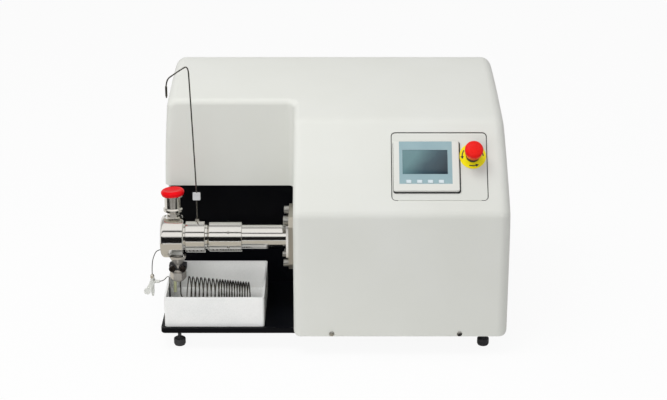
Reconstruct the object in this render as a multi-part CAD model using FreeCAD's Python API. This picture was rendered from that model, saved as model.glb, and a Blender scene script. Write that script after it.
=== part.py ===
"""Bench-top high-pressure homogenizer.

Millimetres, +Z up. The model is drawn with X = 0 on the cover's middle, Y = 0 on the cover's lower
front face, Y growing rearwards, and Z = 0 on the bench. At the end every piece is moved so that the
origin lies at the middle of the overall box's underside.
"""

import FreeCAD
import Part
import math
import os

# Cover: one moulded shell, its side outline and its edges
COVER_WIDTH = 768.0
COVER_DEPTH = 570.0
COVER_BOTTOM = 47.0
COVER_WALL = 3.0
CREASE_HEIGHT = 333.0
FACE_LEAN = 39.0
FACE_LENGTH = 222.0
CREASE_ROUND = 30.0
BROW_ROUND = 45.0
CROWN_START_SLOPE = 16.0
CROWN_END_SLOPE = 6.0
SHOULDER_ROUND = 136.0
SIDE_BOW_RADIUS = 3250.0
SIDE_BOW_START = 250.0
DRAWING_TOP = CREASE_HEIGHT + FACE_LENGTH + 50
EDGE_ROUND = 24.0
FOOT_CORNER_ROUND = 12.0
MAIN_EDGE_ROUND = 16.0
OVERSHOOT = 60.0
RETURN_LIP = 14.0

# Open bay at the left, under the set-back head block
MAIN_BLOCK_WIDTH = 472.0
HEAD_BLOCK_FRONT = 217.0
BAY_CEILING = 324.0
BAY_BACK = 300.0
BAY_CORNER_ROUND = 9.0
LINER_THICKNESS = 2.0
LINER_SIDE_GAP = 2.8
LINER_FRONT_GAP = 6.0

# Base plate and levelling feet
PLATE_BOTTOM = 39.5
PLATE_THICKNESS = 13.5
PLATE_FRONT = 30.0
PLATE_EDGE_ROUND = 5.0
PLATE_CORNER_ROUND = 8.0
PLATE_CLEARANCE = 0.5
FOOT_DIAMETER = 27.0
FOOT_HEIGHT = 23.0
FOOT_STUD_DIAMETER = 8.0
FOOT_RISE = 4.0
FOOT_SPREAD = 682.0
FOOT_MIDDLE = -4.7
FOOT_FRONT = 60.0
FOOT_REAR = COVER_DEPTH - 50.0
LOCK_NUT_ACROSS_FLATS = 13.0
LOCK_NUT_HEIGHT = 6.5
FOOT_PAD_BEVEL = 3.0
FOOT_NECK_RISE = 3.0
FOOT_EDGE_BEVEL = 2.0
RUNNING_CLEARANCE = 0.05
SEAT_GAP = 0.3

# Ice-bath tray and the coil that lies in it
TRAY_LEFT = -376.0
TRAY_FRONT = 39.0
TRAY_WIDTH = 222.0
TRAY_DEPTH = 218.0
TRAY_HEIGHT = 70.0
TRAY_WALL = 4.0
TRAY_CORNER_ROUND = 6.0
LINE_DIAMETER = 3.2
COIL_DIAMETER = 56.0
COIL_LEFT = -334.0
COIL_AXIS_Y = 148.0
COIL_LIFT = 15.0
OPEN_TURNS = 8
OPEN_PITCH = 9.0
CLOSE_TURNS = 12
CLOSE_PITCH = 5.9
COIL_SECTION_SIDES = 6

# Pump line: everything turned about one level axis that runs left to right
PUMP_Y = 140.0
PUMP_Z = 230.4
PLUNGER_DIAMETER = 20.0
PLUNGER_TIP = -296.0
PUMP_BORE = 24.0
HEAD_LEFT = -387.0
HEAD_LENGTH = 52.0
HEAD_DIAMETER = 96.0
HEAD_ROUND = 9.0
HEAD_CHAMFER = 2.0
SPOT_REACH = 5.0
HEAD_BORE_DEPTH = 38.0
JOINT_GROOVE = 3.0
COLLAR_LENGTH = 45.0
COLLAR_DIAMETER = 74.0
COLLAR_CHAMFER = 1.5
SPIGOT_DIAMETER = 62.0
RING_NUT_GROOVE = 4.0
RING_NUT_LENGTH = 78.0
RING_NUT_DIAMETER = 70.0
RING_NUT_CHAMFER = 5.0
SPANNER_HOLE_DIAMETER = 7.0
SPANNER_HOLE_DEPTH = 5.0
SPANNER_HOLE_INSET = 30.0
SPANNER_HOLES = 6
SPANNER_FIRST_ANGLE = 35.0
BARREL_DIAMETER = 57.0
BARREL_FLANGE_SIZE = 80.0
BARREL_FLANGE_THICKNESS = 6.0
BARREL_FLANGE_ROUND = 6.0
FLANGE_PLATE_SIZE = 124.0
FLANGE_PLATE_THICKNESS = 12.0
FLANGE_CORNER_CUT = 18.0
SEAL_BORE = 34.0
SEAL_LENGTH = 12.0
GUIDE_BUSH_LENGTH = 61.0
OUTER_SCREW_SPACING = 100.0
OUTER_SCREW_SPREAD = 72.0
OUTER_SCREW_HEAD_DIAMETER = 18.0
OUTER_SCREW_HEAD_HEIGHT = 12.0
INNER_SCREW_SPACING = 62.0
INNER_SCREW_HEAD_DIAMETER = 13.0
INNER_SCREW_HEAD_HEIGHT = 8.0
SCREW_CHAMFER_SHARE = 0.06
SCREW_SOCKET_SHARE = 0.5

# Check valves in the head
VALVE_POCKET = 16.0
VALVE_BALL_DIAMETER = 9.5
VALVE_SEAT_BORE = 6.0
VALVE_SEAT_HEIGHT = 8.0
INLET_X = -358.5
OUTLET_X = -352.0
INLET_POCKET_DEPTH = 29.0
OUTLET_POCKET_DEPTH = 31.0
SPOT_FACE_DEPTH = 2.0
SPOT_FACE_DIAMETER = 40.0
SPIGOT_LENGTH = 10.0

# Inlet neck and its cap
NECK_HEX = 24.0
NECK_HEX_HEIGHT = 14.0
NECK_BULGE_DIAMETER = 44.0
NECK_BULGE_HEIGHT = 9.0
NECK_DIAMETER = 38.0
NECK_TOP = 331.0
NECK_WALL = 2.0
NECK_FLANGE_DIAMETER = 48.5
NECK_FLANGE_THICKNESS = 2.9
CAP_DIAMETER = 52.5
CAP_HEIGHT = 9.0
CAP_SKIRT = 2.0
CAP_WALL = 1.2
CAP_TILT = 3.0
CAP_DISH_DIAMETER = 36.0
CAP_DISH_DEPTH = 2.0
CAP_ROUND = 3.0
CAP_ROUND_KNEE = 0.9

# Interaction chamber under the head
CONE_TOP_DIAMETER = 38.0
CONE_LENGTH = 21.0
CHAMBER_STEM_DIAMETER = 18.0
CLAMP_WIDTH = 40.0
CLAMP_DEPTH = 30.0
CLAMP_HEIGHT = 18.0
CLAMP_SCREW_DIAMETER = 13.0
CLAMP_SCREW_HEIGHT = 6.0
CLAMP_SCREW_SPACING = 25.0
CLAMP_CORNER_ROUND = 6.0
CHAMBER_NUT_HEX = 32.0
CHAMBER_NUT_HEIGHT = 21.0
CHAMBER_NUT_TAPER = 7.0
CHAMBER_NUT_TIP = 26.0
CHAMBER_NUT_CHAMFER = 1.5
DRAIN_DIAMETER = 7.0
DRAIN_LENGTH = 30.0
DRAIN_OFFSET = -8.0
DRAIN_WALL = 1.2
OUTLET_TUBE_OFFSET = 4.0
OUTLET_TUBE_DROP_END = 14.0
OUTLET_TUBE_SWING = 34.0
OUTLET_TUBE_BEND = 9.0

# Gooseneck spout
RISER_X = -305.5
RISER_LEAN = 9.5
SPOUT_PEAK = 631.0
SPOUT_DROP = 36.0
SPOUT_REACH = -364.7
SPOUT_TIP = SPOUT_PEAK - 77.0
SPOUT_SLEEVE_DIAMETER = 5.0
SPOUT_SLEEVE_LENGTH = 24.0
SPOUT_SLEEVE_INSET = 3.0
SPOUT_BEND = 12.0
RISER_FITTING_DIAMETER = 9.0
RISER_FITTING_HEIGHT = 5.0
CLIP_SIZE = 17.0
CLIP_THICKNESS = 5.0
CLIP_BOTTOM = 317.0
CLIP_CORNER_ROUND = 2.0

# Sample line, stopcock and flush line at the left
SAMPLE_LINE_DIAMETER = 2.0
SAMPLE_PORT_DROP = 33.0
SAMPLE_LINE_REACH = 12.0
SAMPLE_LINE_FALL = 28.0
SAMPLE_LINE_BEND = 10.0
STOPCOCK_X = -410.0
STOPCOCK_Y = 128.0
STOPCOCK_TOP = 134.0
STOPCOCK_BARREL_DIAMETER = 11.0
STOPCOCK_BARREL_LENGTH = 18.0
STOPCOCK_BARREL_DROP = 9.0
STOPCOCK_PORT_DIAMETER = 7.5
STOPCOCK_LENGTH = 44.0
STOPCOCK_BRANCH = 16.0
STOPCOCK_PLUG_DIAMETER = 6.0
STOPCOCK_NOZZLE_LENGTH = 10.0
STOPCOCK_NOZZLE_TIP = 2.25
FERRULE_DIAMETER = 9.0
FERRULE_HEIGHT = 9.0
FERRULE_TAPER = 3.0
HANDLE_LENGTH = 30.0
HANDLE_WIDTH = 15.0
HANDLE_HUB_DIAMETER = 12.5
HANDLE_WEB_WIDTH = 10.0
HANDLE_THICKNESS = 3.5
HANDLE_REST_ANGLE = 30.0
DIP_SLEEVE_X = -366.5
DIP_SLEEVE_Y = 80.0
DIP_SLEEVE_DIAMETER = 4.4
DIP_SLEEVE_TOP = 130.0
DIP_SLEEVE_LENGTH = 23.0
FLUSH_LINE_REACH = 9.0
FLUSH_LINE_SET_OFF = 7.0
FLUSH_LINE_SWING = 20.0
FLUSH_LINE_CROWN = 18.0
FLUSH_LINE_ENTRY = 14.0
FLUSH_LINE_BEND = 7.0

# Control panel on the leaning face: places are across the machine and up the face from the crease
PANEL_X = 230.0
PANEL_UP = 112.0
PANEL_WIDTH = 206.0
PANEL_HEIGHT = 155.0
PANEL_THICKNESS = 2.5
PANEL_RECESS = 2.0
PANEL_CORNER_ROUND = 8.0
PANEL_GAP = 2.0
PANEL_RIM = 8.0
PANEL_HOLE_REACH = 20.0
SCREEN_X = 201.5
SCREEN_UP = 111.0
SCREEN_WIDTH = 143.0
SCREEN_HEIGHT = 116.0
SCREEN_THICKNESS = 6.0
SCREEN_CORNER_ROUND = 5.0
SCREEN_BODY_MARGIN = 7.0
SCREEN_BODY_DEPTH = 38.0
SCREEN_BEVEL = 1.5
GASKET_THICKNESS = 1.2
OVERLAY_MARGIN = 1.5
OVERLAY_WIDTH = 115.0
OVERLAY_HEIGHT = 98.0
OVERLAY_ACROSS = -1.5
OVERLAY_THICKNESS = 0.6
DISPLAY_WIDTH = 98.0
DISPLAY_HEIGHT = 56.0
DISPLAY_UP = 9.0
DISPLAY_ACROSS = -2.8
DISPLAY_THICKNESS = 1.5
KEY_COUNT = 4
KEY_PITCH = 23.5
KEY_WIDTH = 11.0
KEY_HEIGHT = 7.0
KEY_UP = -36.0
KEY_ACROSS = -3.5
KEY_THICKNESS = 2.6
KEY_STAND_OUT = 0.9
KEY_TRAVEL = 0.6
KEY_CORNER_ROUND = 1.5

# Emergency stop
STOP_X = 303.0
STOP_UP = 136.0
LEGEND_DIAMETER = 58.0
LEGEND_THICKNESS = 1.5
STOP_COLLAR_DIAMETER = 30.0
STOP_COLLAR_HEIGHT = 12.0
STOP_COLLAR_BEVEL = 3.0
STOP_COLLAR_WALL = 3.5
STOP_STEM_DIAMETER = 16.0
STOP_TENON_DIAMETER = 10.0
STOP_TENON_LENGTH = 9.0
MUSHROOM_DIAMETER = 40.0
MUSHROOM_TOP = 46.0
MUSHROOM_THICKNESS = 16.0
MUSHROOM_DOME = 6.0
MUSHROOM_RIM = 4.0
MUSHROOM_UNDERCUT = 7.0
MUSHROOM_DOME_STEPS = 4
STOP_TRAVEL = 5.0
STOP_BLOCK_SIZE = 30.0
STOP_BLOCK_DEPTH = 42.0
STOP_STEM_ENGAGED = 16.0

# Drive train inside the main block
BULKHEAD_THICKNESS = 12.0
BULKHEAD_FRONT = 60.0
BULKHEAD_DEPTH = 160.0
BULKHEAD_TOP = 310.0
BULKHEAD_BOSS_DIAMETER = 96.0
COVER_PORT_DIAMETER = 104.0
YOKE_LENGTH = 93.0
YOKE_DIAMETER = 100.0
YOKE_WALL = 10.0
YOKE_WINDOW_WIDTH = 46.0
YOKE_WINDOW_MARGIN = 14.0
CYLINDER_CAP_SIZE = 90.0
CYLINDER_CAP_THICKNESS = 25.0
CYLINDER_FRONT_GAP = 47.0
CYLINDER_DIAMETER = 76.0
CYLINDER_BORE = 63.0
TIE_ROD_DIAMETER = 10.0
TIE_ROD_SPACING = 70.0
TIE_ROD_END = 8.0
PISTON_LENGTH = 25.0
PISTON_REST_GAP = 10.0
PISTON_ROD_DIAMETER = 28.0
COUPLING_DIAMETER = 40.0
COUPLING_LENGTH = 25.0
COUPLING_REST = -10.0
STROKE = 58.0
BRACKET_DEPTH = 60.0
VALVE_BLOCK_DEPTH = 56.0
VALVE_BLOCK_HEIGHT = 34.0
SOLENOID_DIAMETER = 30.0
SOLENOID_HEIGHT = 38.0
SOLENOID_SPACING = 50.0

# Motor, gear pump and oil reservoir
MOTOR_Y = COVER_DEPTH - 140.0
MOTOR_Z = 150.0
MOTOR_LEFT = 40.0
MOTOR_LENGTH = 220.0
MOTOR_DIAMETER = 150.0
MOTOR_BORE = 82.0
MOTOR_END_WALL = 18.0
MOTOR_FINS = 12
MOTOR_FIN_DEPTH = 6.0
MOTOR_FIN_WIDTH = 7.0
MOTOR_BASE_WIDTH = 120.0
MOTOR_BASE_INSET = 20.0
MOTOR_FIN_ARC = 240.0
MOTOR_FIN_START = -30.0
ROTOR_GAP = 1.0
SHAFT_DIAMETER = 20.0
GEAR_TEETH = 12
GEAR_MODULE = 4.0
GEAR_WIDTH = 30.0
GEAR_BACKLASH = 0.7
GEAR_CLEARANCE = 1.0
TOOTH_ROOT_SHARE = 0.36
TOOTH_PITCH_SHARE = 0.25
TOOTH_TIP_SHARE = 0.11
PUMP_WALL = 12.0
PUMP_CORNER_ROUND = 10.0
IDLER_SHAFT_DIAMETER = 14.0
TANK_LEFT = -360.0
TANK_WIDTH = 240.0
TANK_FRONT = 330.0
TANK_REAR_GAP = 40.0
TANK_DEPTH = COVER_DEPTH - TANK_REAR_GAP - TANK_FRONT
TANK_HEIGHT = 240.0
TANK_ROUND = 15.0
FILLER_DIAMETER = 50.0
FILLER_HEIGHT = 22.0
PIPE_DIAMETER = 12.0
PIPE_BEND = 30.0
PIPE_LOOP_RISE = 60.0
PRESSURE_PIPE_SWING = 120.0
PRESSURE_PIPE_ENTRY = 80.0
PRESSURE_PIPE_BEND = 20.0
SUCTION_PIPE_DIAMETER = 18.0

# Electrical pieces
SUPPLY_LEFT = 225.0
SUPPLY_FRONT = 60.0
SUPPLY_WIDTH = 135.0
SUPPLY_DEPTH = 140.0
SUPPLY_HEIGHT = 120.0
SUPPLY_SLOTS = 5
SUPPLY_SLOT_MARGIN = 15.0
SUPPLY_SLOT_START = 20.0
SUPPLY_SLOT_PITCH = 20.0
SUPPLY_SLOT_WIDTH = 4.0
SUPPLY_SLOT_DEPTH = 3.0
CONTROLLER_WIDTH = 110.0
CONTROLLER_DEPTH = 80.0
CONTROLLER_HEIGHT = 95.0
CONTROLLER_ROUND = 3.0

# Rear panel, fan, mains inlet and switch
REAR_OPENING_WIDTH = 660.0
REAR_OPENING_BOTTOM = 75.0
REAR_OPENING_TOP = 400.0
REAR_PANEL_THICKNESS = 2.0
REAR_PANEL_LAP = 10.0
VENT_COUNT = 9
VENT_PITCH = 16.0
VENT_WIDTH = 120.0
VENT_HEIGHT = 5.0
VENT_X = -180.0
VENT_BOTTOM = 150.0
FAN_X = 240.0
FAN_Z = 320.0
FAN_SIZE = 120.0
FAN_THICKNESS = 25.0
FAN_BORE = 112.0
FAN_TIP_GAP = 2.0
FAN_HUB_DIAMETER = 40.0
FAN_BLADES = 7
FAN_BLADE_PITCH = 35.0
FAN_BLADE_THICKNESS = 2.0
FAN_PIN_DIAMETER = 6.0
FAN_MOUNT_THICKNESS = 4.0
FAN_STRUT_WIDTH = 8.0
FAN_PIN_STAND_BACK = 5.0
FAN_ROTOR_STAND_BACK = 3.0
FAN_CHORD_SHARE = 0.8
GUARD_RINGS = 4
GUARD_WIRE = 2.0
INLET_SOCKET_X = 300.0
INLET_SOCKET_Z = 110.0
SOCKET_WIDTH = 50.0
SOCKET_HEIGHT = 27.0
SOCKET_DEPTH = 28.0
SOCKET_FLANGE = 3.0
SOCKET_FLANGE_SIDE = 5.0
SOCKET_FLANGE_TOP = 3.0
SOCKET_MOUTH_WIDTH = 26.0
SOCKET_MOUTH_HEIGHT = 18.0
SOCKET_FLOOR = 4.0
SOCKET_BLADE = (2.0, 4.0)
SOCKET_BLADE_PLACES = ((-7.0, -2.0), (0.0, 3.0), (7.0, -2.0))
SWITCH_X = 240.0
SWITCH_WIDTH = 22.0
SWITCH_HEIGHT = 30.0
SWITCH_DEPTH = 24.0
SWITCH_WALL = 2.0
ROCKER_ANGLE = 8.0
ROCKER_PIN_DIAMETER = 3.0
ROCKER_PIN_DEPTH = 5.0
ROCKER_GAP = (0.5, 1.5)
ROCKER_STAND_OUT = 6.5
ROCKER_WAIST = 5.0
ROCKER_ROOT = (6.0, 4.0)
SWITCH_FLANGE = (2.0, 1.5)

# Cover screws
COVER_SCREW_DIAMETER = 12.0
COVER_SCREW_OUTLINE = ((1.0, 0.0), (1.0, 0.8), (0.8, 2.1), (0.4, 3.0))
FRONT_SCREW_LEFT = -4.0
FRONT_SCREW_RIGHT = 278.0
FRONT_SCREW_Z = 53.5
SIDE_SCREW_Y = BAY_BACK + 40
SIDE_SCREW_Z = SIDE_BOW_START - 25

# Places that follow from the sizes above
HALF_WIDTH = COVER_WIDTH / 2
MAIN_LEFT = HALF_WIDTH - MAIN_BLOCK_WIDTH
PLATE_TOP = PLATE_BOTTOM + PLATE_THICKNESS
FOOT_STUD_TOP = PLATE_TOP - FOOT_RISE - SEAT_GAP
TRAY_FLOOR = PLATE_TOP + TRAY_WALL
HEAD_RIGHT = HEAD_LEFT + HEAD_LENGTH
HEAD_TOP = PUMP_Z + HEAD_DIAMETER / 2
HEAD_BOTTOM = PUMP_Z - HEAD_DIAMETER / 2
COLLAR_LEFT = HEAD_RIGHT + JOINT_GROOVE
COLLAR_RIGHT = COLLAR_LEFT + COLLAR_LENGTH
RING_NUT_LEFT = COLLAR_RIGHT + RING_NUT_GROOVE
RING_NUT_RIGHT = RING_NUT_LEFT + RING_NUT_LENGTH
FLANGE_PLATE_LEFT = MAIN_LEFT - FLANGE_PLATE_THICKNESS
BULKHEAD_LEFT = MAIN_LEFT + COVER_WALL
BULKHEAD_RIGHT = BULKHEAD_LEFT + BULKHEAD_THICKNESS
FRONT_CAP_LEFT = BULKHEAD_RIGHT + YOKE_LENGTH
CYLINDER_LENGTH = PISTON_LENGTH + PISTON_REST_GAP + STROKE + CYLINDER_FRONT_GAP
TUBE_LEFT = FRONT_CAP_LEFT + CYLINDER_CAP_THICKNESS
REAR_CAP_LEFT = TUBE_LEFT + CYLINDER_LENGTH
CYLINDER_RIGHT = REAR_CAP_LEFT + CYLINDER_CAP_THICKNESS
CHAMBER_TOP = HEAD_BOTTOM + SPOT_FACE_DEPTH
CLAMP_TOP = CHAMBER_TOP - CONE_LENGTH
CHAMBER_NUT_TOP = CLAMP_TOP - CLAMP_HEIGHT
CHAMBER_NUT_BOTTOM = CHAMBER_NUT_TOP - CHAMBER_NUT_HEIGHT
NECK_BASE = HEAD_TOP - SPOT_FACE_DEPTH
COIL_RADIUS = (COIL_DIAMETER - LINE_DIAMETER) / 2
COIL_LENGTH = OPEN_TURNS * OPEN_PITCH + CLOSE_TURNS * CLOSE_PITCH
COIL_RIGHT_Z = TRAY_FLOOR + COIL_DIAMETER / 2 + SEAT_GAP
REAR_INSIDE = COVER_DEPTH - COVER_WALL
REAR_PANEL_FRONT = REAR_INSIDE - REAR_PANEL_THICKNESS
GEAR_RADIUS = GEAR_TEETH * GEAR_MODULE / 2
IDLER_Z = MOTOR_Z + 2 * GEAR_RADIUS
GEAR_LEFT = MOTOR_LEFT - PUMP_WALL - GEAR_WIDTH


def vec(x, y, z):
    """Point or direction."""
    return FreeCAD.Vector(x, y, z)


def block(x0, x1, y0, y1, z0, z1):
    """Block between two opposite corners."""
    return Part.makeBox(x1 - x0, y1 - y0, z1 - z0, vec(x0, y0, z0))


def rod(radius, start, end):
    """Cylinder from one point to another."""
    along = end.sub(start)
    return Part.makeCylinder(radius, along.Length, start, along)


def placed(shape, base, axis):
    """Piece drawn about +Z, turned so that +Z runs along the axis and moved to the base."""
    copy = shape.copy()
    copy.Placement = FreeCAD.Placement(base, FreeCAD.Rotation(vec(0, 0, 1), axis))
    return copy


def turned(outline):
    """Solid turned about +Z from (radius, height) corners."""
    corners = [vec(radius, 0, height) for radius, height in outline]
    face = Part.Face(Part.makePolygon(corners + corners[:1]))
    return face.revolve(vec(0, 0, 0), vec(0, 0, 1), 360)


def on_pump_axis(outline):
    """Solid turned about the pump axis from (radius, X) corners."""
    return placed(turned(outline), vec(0, PUMP_Y, PUMP_Z), vec(1, 0, 0))


def pump_rod(diameter, left, right):
    """Cylinder on the pump axis."""
    return rod(diameter / 2, vec(left, PUMP_Y, PUMP_Z), vec(right, PUMP_Y, PUMP_Z))


def hexagon(across_flats, height):
    """Hexagonal prism that stands on Z = 0."""
    reach = across_flats / math.sqrt(3)
    corners = [vec(reach * math.cos(math.radians(60 * i)), reach * math.sin(math.radians(60 * i)), 0)
               for i in range(7)]
    return Part.Face(Part.makePolygon(corners)).extrude(vec(0, 0, height))


def rounded_outline(width, height, radius):
    """Wire of a rectangle with round corners, centred on the XY origin."""
    plate = Part.makeBox(width, height, 1, vec(-width / 2, -height / 2, 0))
    upright = [edge for edge in plate.Edges if edge.BoundBox.ZLength > 0.5]
    rounded = plate.makeFillet(radius, upright)
    floor = min(rounded.Faces, key=lambda face: face.CenterOfMass.z)
    return floor.OuterWire


def rounded_plate(width, height, thickness, radius):
    """Plate with round corners, centred on the XY origin and standing on Z = 0."""
    return Part.Face(rounded_outline(width, height, radius)).extrude(vec(0, 0, thickness))


def edges_in_plane(shape, axis, value):
    """Edges that lie in the plane where one coordinate has this value."""
    low, high = {"x": ("XMin", "XMax"), "y": ("YMin", "YMax"), "z": ("ZMin", "ZMax")}[axis]
    return [edge for edge in shape.Edges
            if abs(getattr(edge.BoundBox, low) - value) < 1e-3
            and abs(getattr(edge.BoundBox, high) - value) < 1e-3]


def fused(pieces):
    """One clean solid from pieces that meet."""
    return pieces[0].multiFuse(pieces[1:]).removeSplitter()


def group(pieces):
    """Several solids that stay separate in one node."""
    return Part.makeCompound(pieces)


def pipe(points, diameter, bend):
    """Round bar along straight runs joined by tangent arcs of the bend radius."""
    edges = []
    start = points[0]
    for before, corner, after in zip(points, points[1:], points[2:]):
        back = before.sub(corner).normalize()
        ahead = after.sub(corner).normalize()
        half = back.getAngle(ahead) / 2
        trim = bend / math.tan(half)
        enter = corner + back * trim
        leave = corner + ahead * trim
        centre = corner + (back + ahead).normalize() * (bend / math.sin(half))
        middle = centre + (corner - centre).normalize() * bend
        edges.append(Part.makeLine(start, enter))
        edges.append(Part.Arc(enter, middle, leave).toShape())
        start = leave
    edges.append(Part.makeLine(start, points[-1]))
    path = Part.Wire(edges)
    section = Part.Wire(Part.makeCircle(diameter / 2, points[0], points[1].sub(points[0])))
    return path.makePipeShell([section], True, True)


class SideOutline:
    """Outline in the YZ plane, drawn as straight runs and tangent right-hand bends."""

    def __init__(self, y, z, heading):
        self.here = vec(0, y, z)
        self.start = self.here
        self.heading = math.radians(heading)
        self.edges = []

    def run(self, length):
        """Straight run along the present heading."""
        end = self.here + vec(0, math.cos(self.heading), math.sin(self.heading)) * length
        self.edges.append(Part.makeLine(self.here, end))
        self.here = end

    def bend(self, radius, degrees):
        """Arc that turns right by so many degrees."""
        centre = self.here + vec(0, math.sin(self.heading), -math.cos(self.heading)) * radius
        spoke = self.here - centre
        half = FreeCAD.Rotation(vec(1, 0, 0), -degrees / 2)
        middle = centre + half.multVec(spoke)
        end = centre + half.multVec(half.multVec(spoke))
        self.edges.append(Part.Arc(self.here, middle, end).toShape())
        self.here = end
        self.heading -= math.radians(degrees)

    def closed_face(self):
        """Face inside the outline, closed by a straight edge."""
        self.edges.append(Part.makeLine(self.here, self.start))
        return Part.Face(Part.Wire(self.edges))


def tangent_length(radius, degrees):
    """Distance from a corner to where its round starts."""
    return radius * math.tan(math.radians(degrees) / 2)


def side_prism(inset):
    """Cover's side outline drawn across the whole width, this far inside the outer surface."""
    brow_turn = 90 - FACE_LEAN - CROWN_START_SLOPE
    crease_trim = tangent_length(CREASE_ROUND, FACE_LEAN)
    brow_trim = tangent_length(BROW_ROUND, brow_turn)
    outline = SideOutline(inset, COVER_BOTTOM + inset, 90)
    outline.run(CREASE_HEIGHT - COVER_BOTTOM - inset - crease_trim)
    outline.bend(CREASE_ROUND - inset, FACE_LEAN)
    outline.run(FACE_LENGTH - crease_trim - brow_trim)
    outline.bend(BROW_ROUND - inset, brow_turn)
    start_sine = math.sin(math.radians(CROWN_START_SLOPE))
    end_sine = math.sin(math.radians(CROWN_END_SLOPE))
    crown_span = COVER_DEPTH - inset - outline.here.y - (SHOULDER_ROUND - inset) * (1 + end_sine)
    outline.bend(crown_span / (start_sine - end_sine), CROWN_START_SLOPE - CROWN_END_SLOPE)
    outline.bend(SHOULDER_ROUND - inset, CROWN_END_SLOPE + 90)
    outline.run(outline.here.z - COVER_BOTTOM - inset)
    face = outline.closed_face()
    face.translate(vec(-HALF_WIDTH, 0, 0))
    return face.extrude(vec(COVER_WIDTH, 0, 0))


def front_prism(inset):
    """Cover's front outline, with sides that bow inwards above, drawn front to back."""
    bottom = COVER_BOTTOM + inset
    side = HALF_WIDTH - inset
    bow = SIDE_BOW_RADIUS - inset
    rise = DRAWING_TOP - SIDE_BOW_START
    lean = math.asin(rise / bow)
    top_z = SIDE_BOW_START + rise
    half_z = SIDE_BOW_START + bow * math.sin(lean / 2)
    top_x = side - bow * (1 - math.cos(lean))
    half_x = side - bow * (1 - math.cos(lean / 2))
    right = Part.Arc(vec(side, 0, SIDE_BOW_START), vec(half_x, 0, half_z), vec(top_x, 0, top_z)).toShape()
    left = Part.Arc(vec(-top_x, 0, top_z), vec(-half_x, 0, half_z), vec(-side, 0, SIDE_BOW_START)).toShape()
    loop = [Part.makeLine(vec(-side, 0, bottom), vec(side, 0, bottom)),
            Part.makeLine(vec(side, 0, bottom), vec(side, 0, SIDE_BOW_START)), right,
            Part.makeLine(vec(top_x, 0, top_z), vec(-top_x, 0, top_z)), left,
            Part.makeLine(vec(-side, 0, SIDE_BOW_START), vec(-side, 0, bottom))]
    return Part.Face(Part.Wire(loop)).extrude(vec(0, COVER_DEPTH + 1, 0))


def corner_cutter(x, toward, inset):
    """What a round lower edge takes away at a side wall; toward is +1 or -1, into the cover."""
    radius = FOOT_CORNER_ROUND - inset
    low = COVER_BOTTOM + inset
    inner_x = x + toward * radius
    corner = block(min(x, inner_x), max(x, inner_x), -1, COVER_DEPTH + 1, low, low + radius)
    core = rod(radius, vec(inner_x, -2, low + radius), vec(inner_x, COVER_DEPTH + 2, low + radius))
    return corner.cut(core)


def is_side_edge(edge):
    """Whether an edge of the blank runs round its left or right side, clear of the underside."""
    box = edge.BoundBox
    at_side = min(abs(box.XMin), abs(box.XMax)) > HALF_WIDTH / 2
    return at_side and box.ZMax > SIDE_BOW_START / 2 and box.ZLength + box.YLength > 1e-3


def cover_blank(inset):
    """Closed body of the cover before the bay is cut, this far inside the outer surface."""
    body = side_prism(inset).common(front_prism(inset))
    rims = [edge for edge in body.Edges if is_side_edge(edge) and joins_side_to_front(edge, body)]
    body = body.makeFillet(EDGE_ROUND - inset, rims)
    side = HALF_WIDTH - inset
    return body.cut([corner_cutter(-side, 1, inset), corner_cutter(side, -1, inset)])


def joins_side_to_front(edge, body):
    """Whether the edge joins a side face to a face that runs across the machine."""
    owners = [face for face in body.Faces if any(edge.isSame(own) for own in face.Edges)]
    across = [face for face in owners if face.BoundBox.XLength > HALF_WIDTH]
    return len(owners) == 2 and len(across) == 1


def bay_opening(margin_right):
    """Room of the open bay, with its round upper right corner."""
    room = block(-HALF_WIDTH - OVERSHOOT, MAIN_LEFT + margin_right, -OVERSHOOT, BAY_BACK, 0, BAY_CEILING)
    corner = [edge for edge in edges_in_plane(room, "x", MAIN_LEFT + margin_right)
              if edge.BoundBox.ZMin > BAY_CEILING - 1e-3]
    return room.makeFillet(BAY_CORNER_ROUND, corner)


def head_step(margin):
    """Room in front of the set-back head block."""
    return block(-HALF_WIDTH - OVERSHOOT, MAIN_LEFT + margin, -OVERSHOOT, HEAD_BLOCK_FRONT + margin, 0,
                 DRAWING_TOP)


def is_main_block_edge(edge, margin):
    """Whether an edge of the stepped body runs down the main block's left side or over the head block."""
    box = edge.BoundBox
    side = MAIN_LEFT + margin
    front = HEAD_BLOCK_FRONT + margin
    on_main_side = abs(box.XMin - side) < 1e-3 and abs(box.XMax - side) < 1e-3
    on_head_face = abs(box.YMin - front) < 1e-3 and abs(box.YMax - front) < 1e-3
    clear_of_bottom = box.ZMax > COVER_BOTTOM + margin + 1
    return clear_of_bottom and (on_main_side or (on_head_face and box.XMin < side - 1))


def stepped_body(margin):
    """Cover's block with the step in front of the head block and the round edges beside it."""
    body = cover_blank(margin).cut(head_step(margin))
    edges = [edge for edge in body.Edges if is_main_block_edge(edge, margin)]
    return body.makeFillet(MAIN_EDGE_ROUND - margin, edges)


def panel_place(across, up, out):
    """Placement on the leaning face: across the machine, up the face from the crease, out of it."""
    turn = FreeCAD.Rotation(vec(1, 0, 0), 90 - FACE_LEAN)
    return FreeCAD.Placement(vec(0, 0, CREASE_HEIGHT), turn).multiply(
        FreeCAD.Placement(vec(across, up, out), FreeCAD.Rotation()))


def on_face(shape, across, up, out):
    """Piece drawn on the XY plane, laid on the leaning face."""
    copy = shape.copy()
    copy.Placement = panel_place(across, up, out).multiply(copy.Placement)
    return copy


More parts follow.
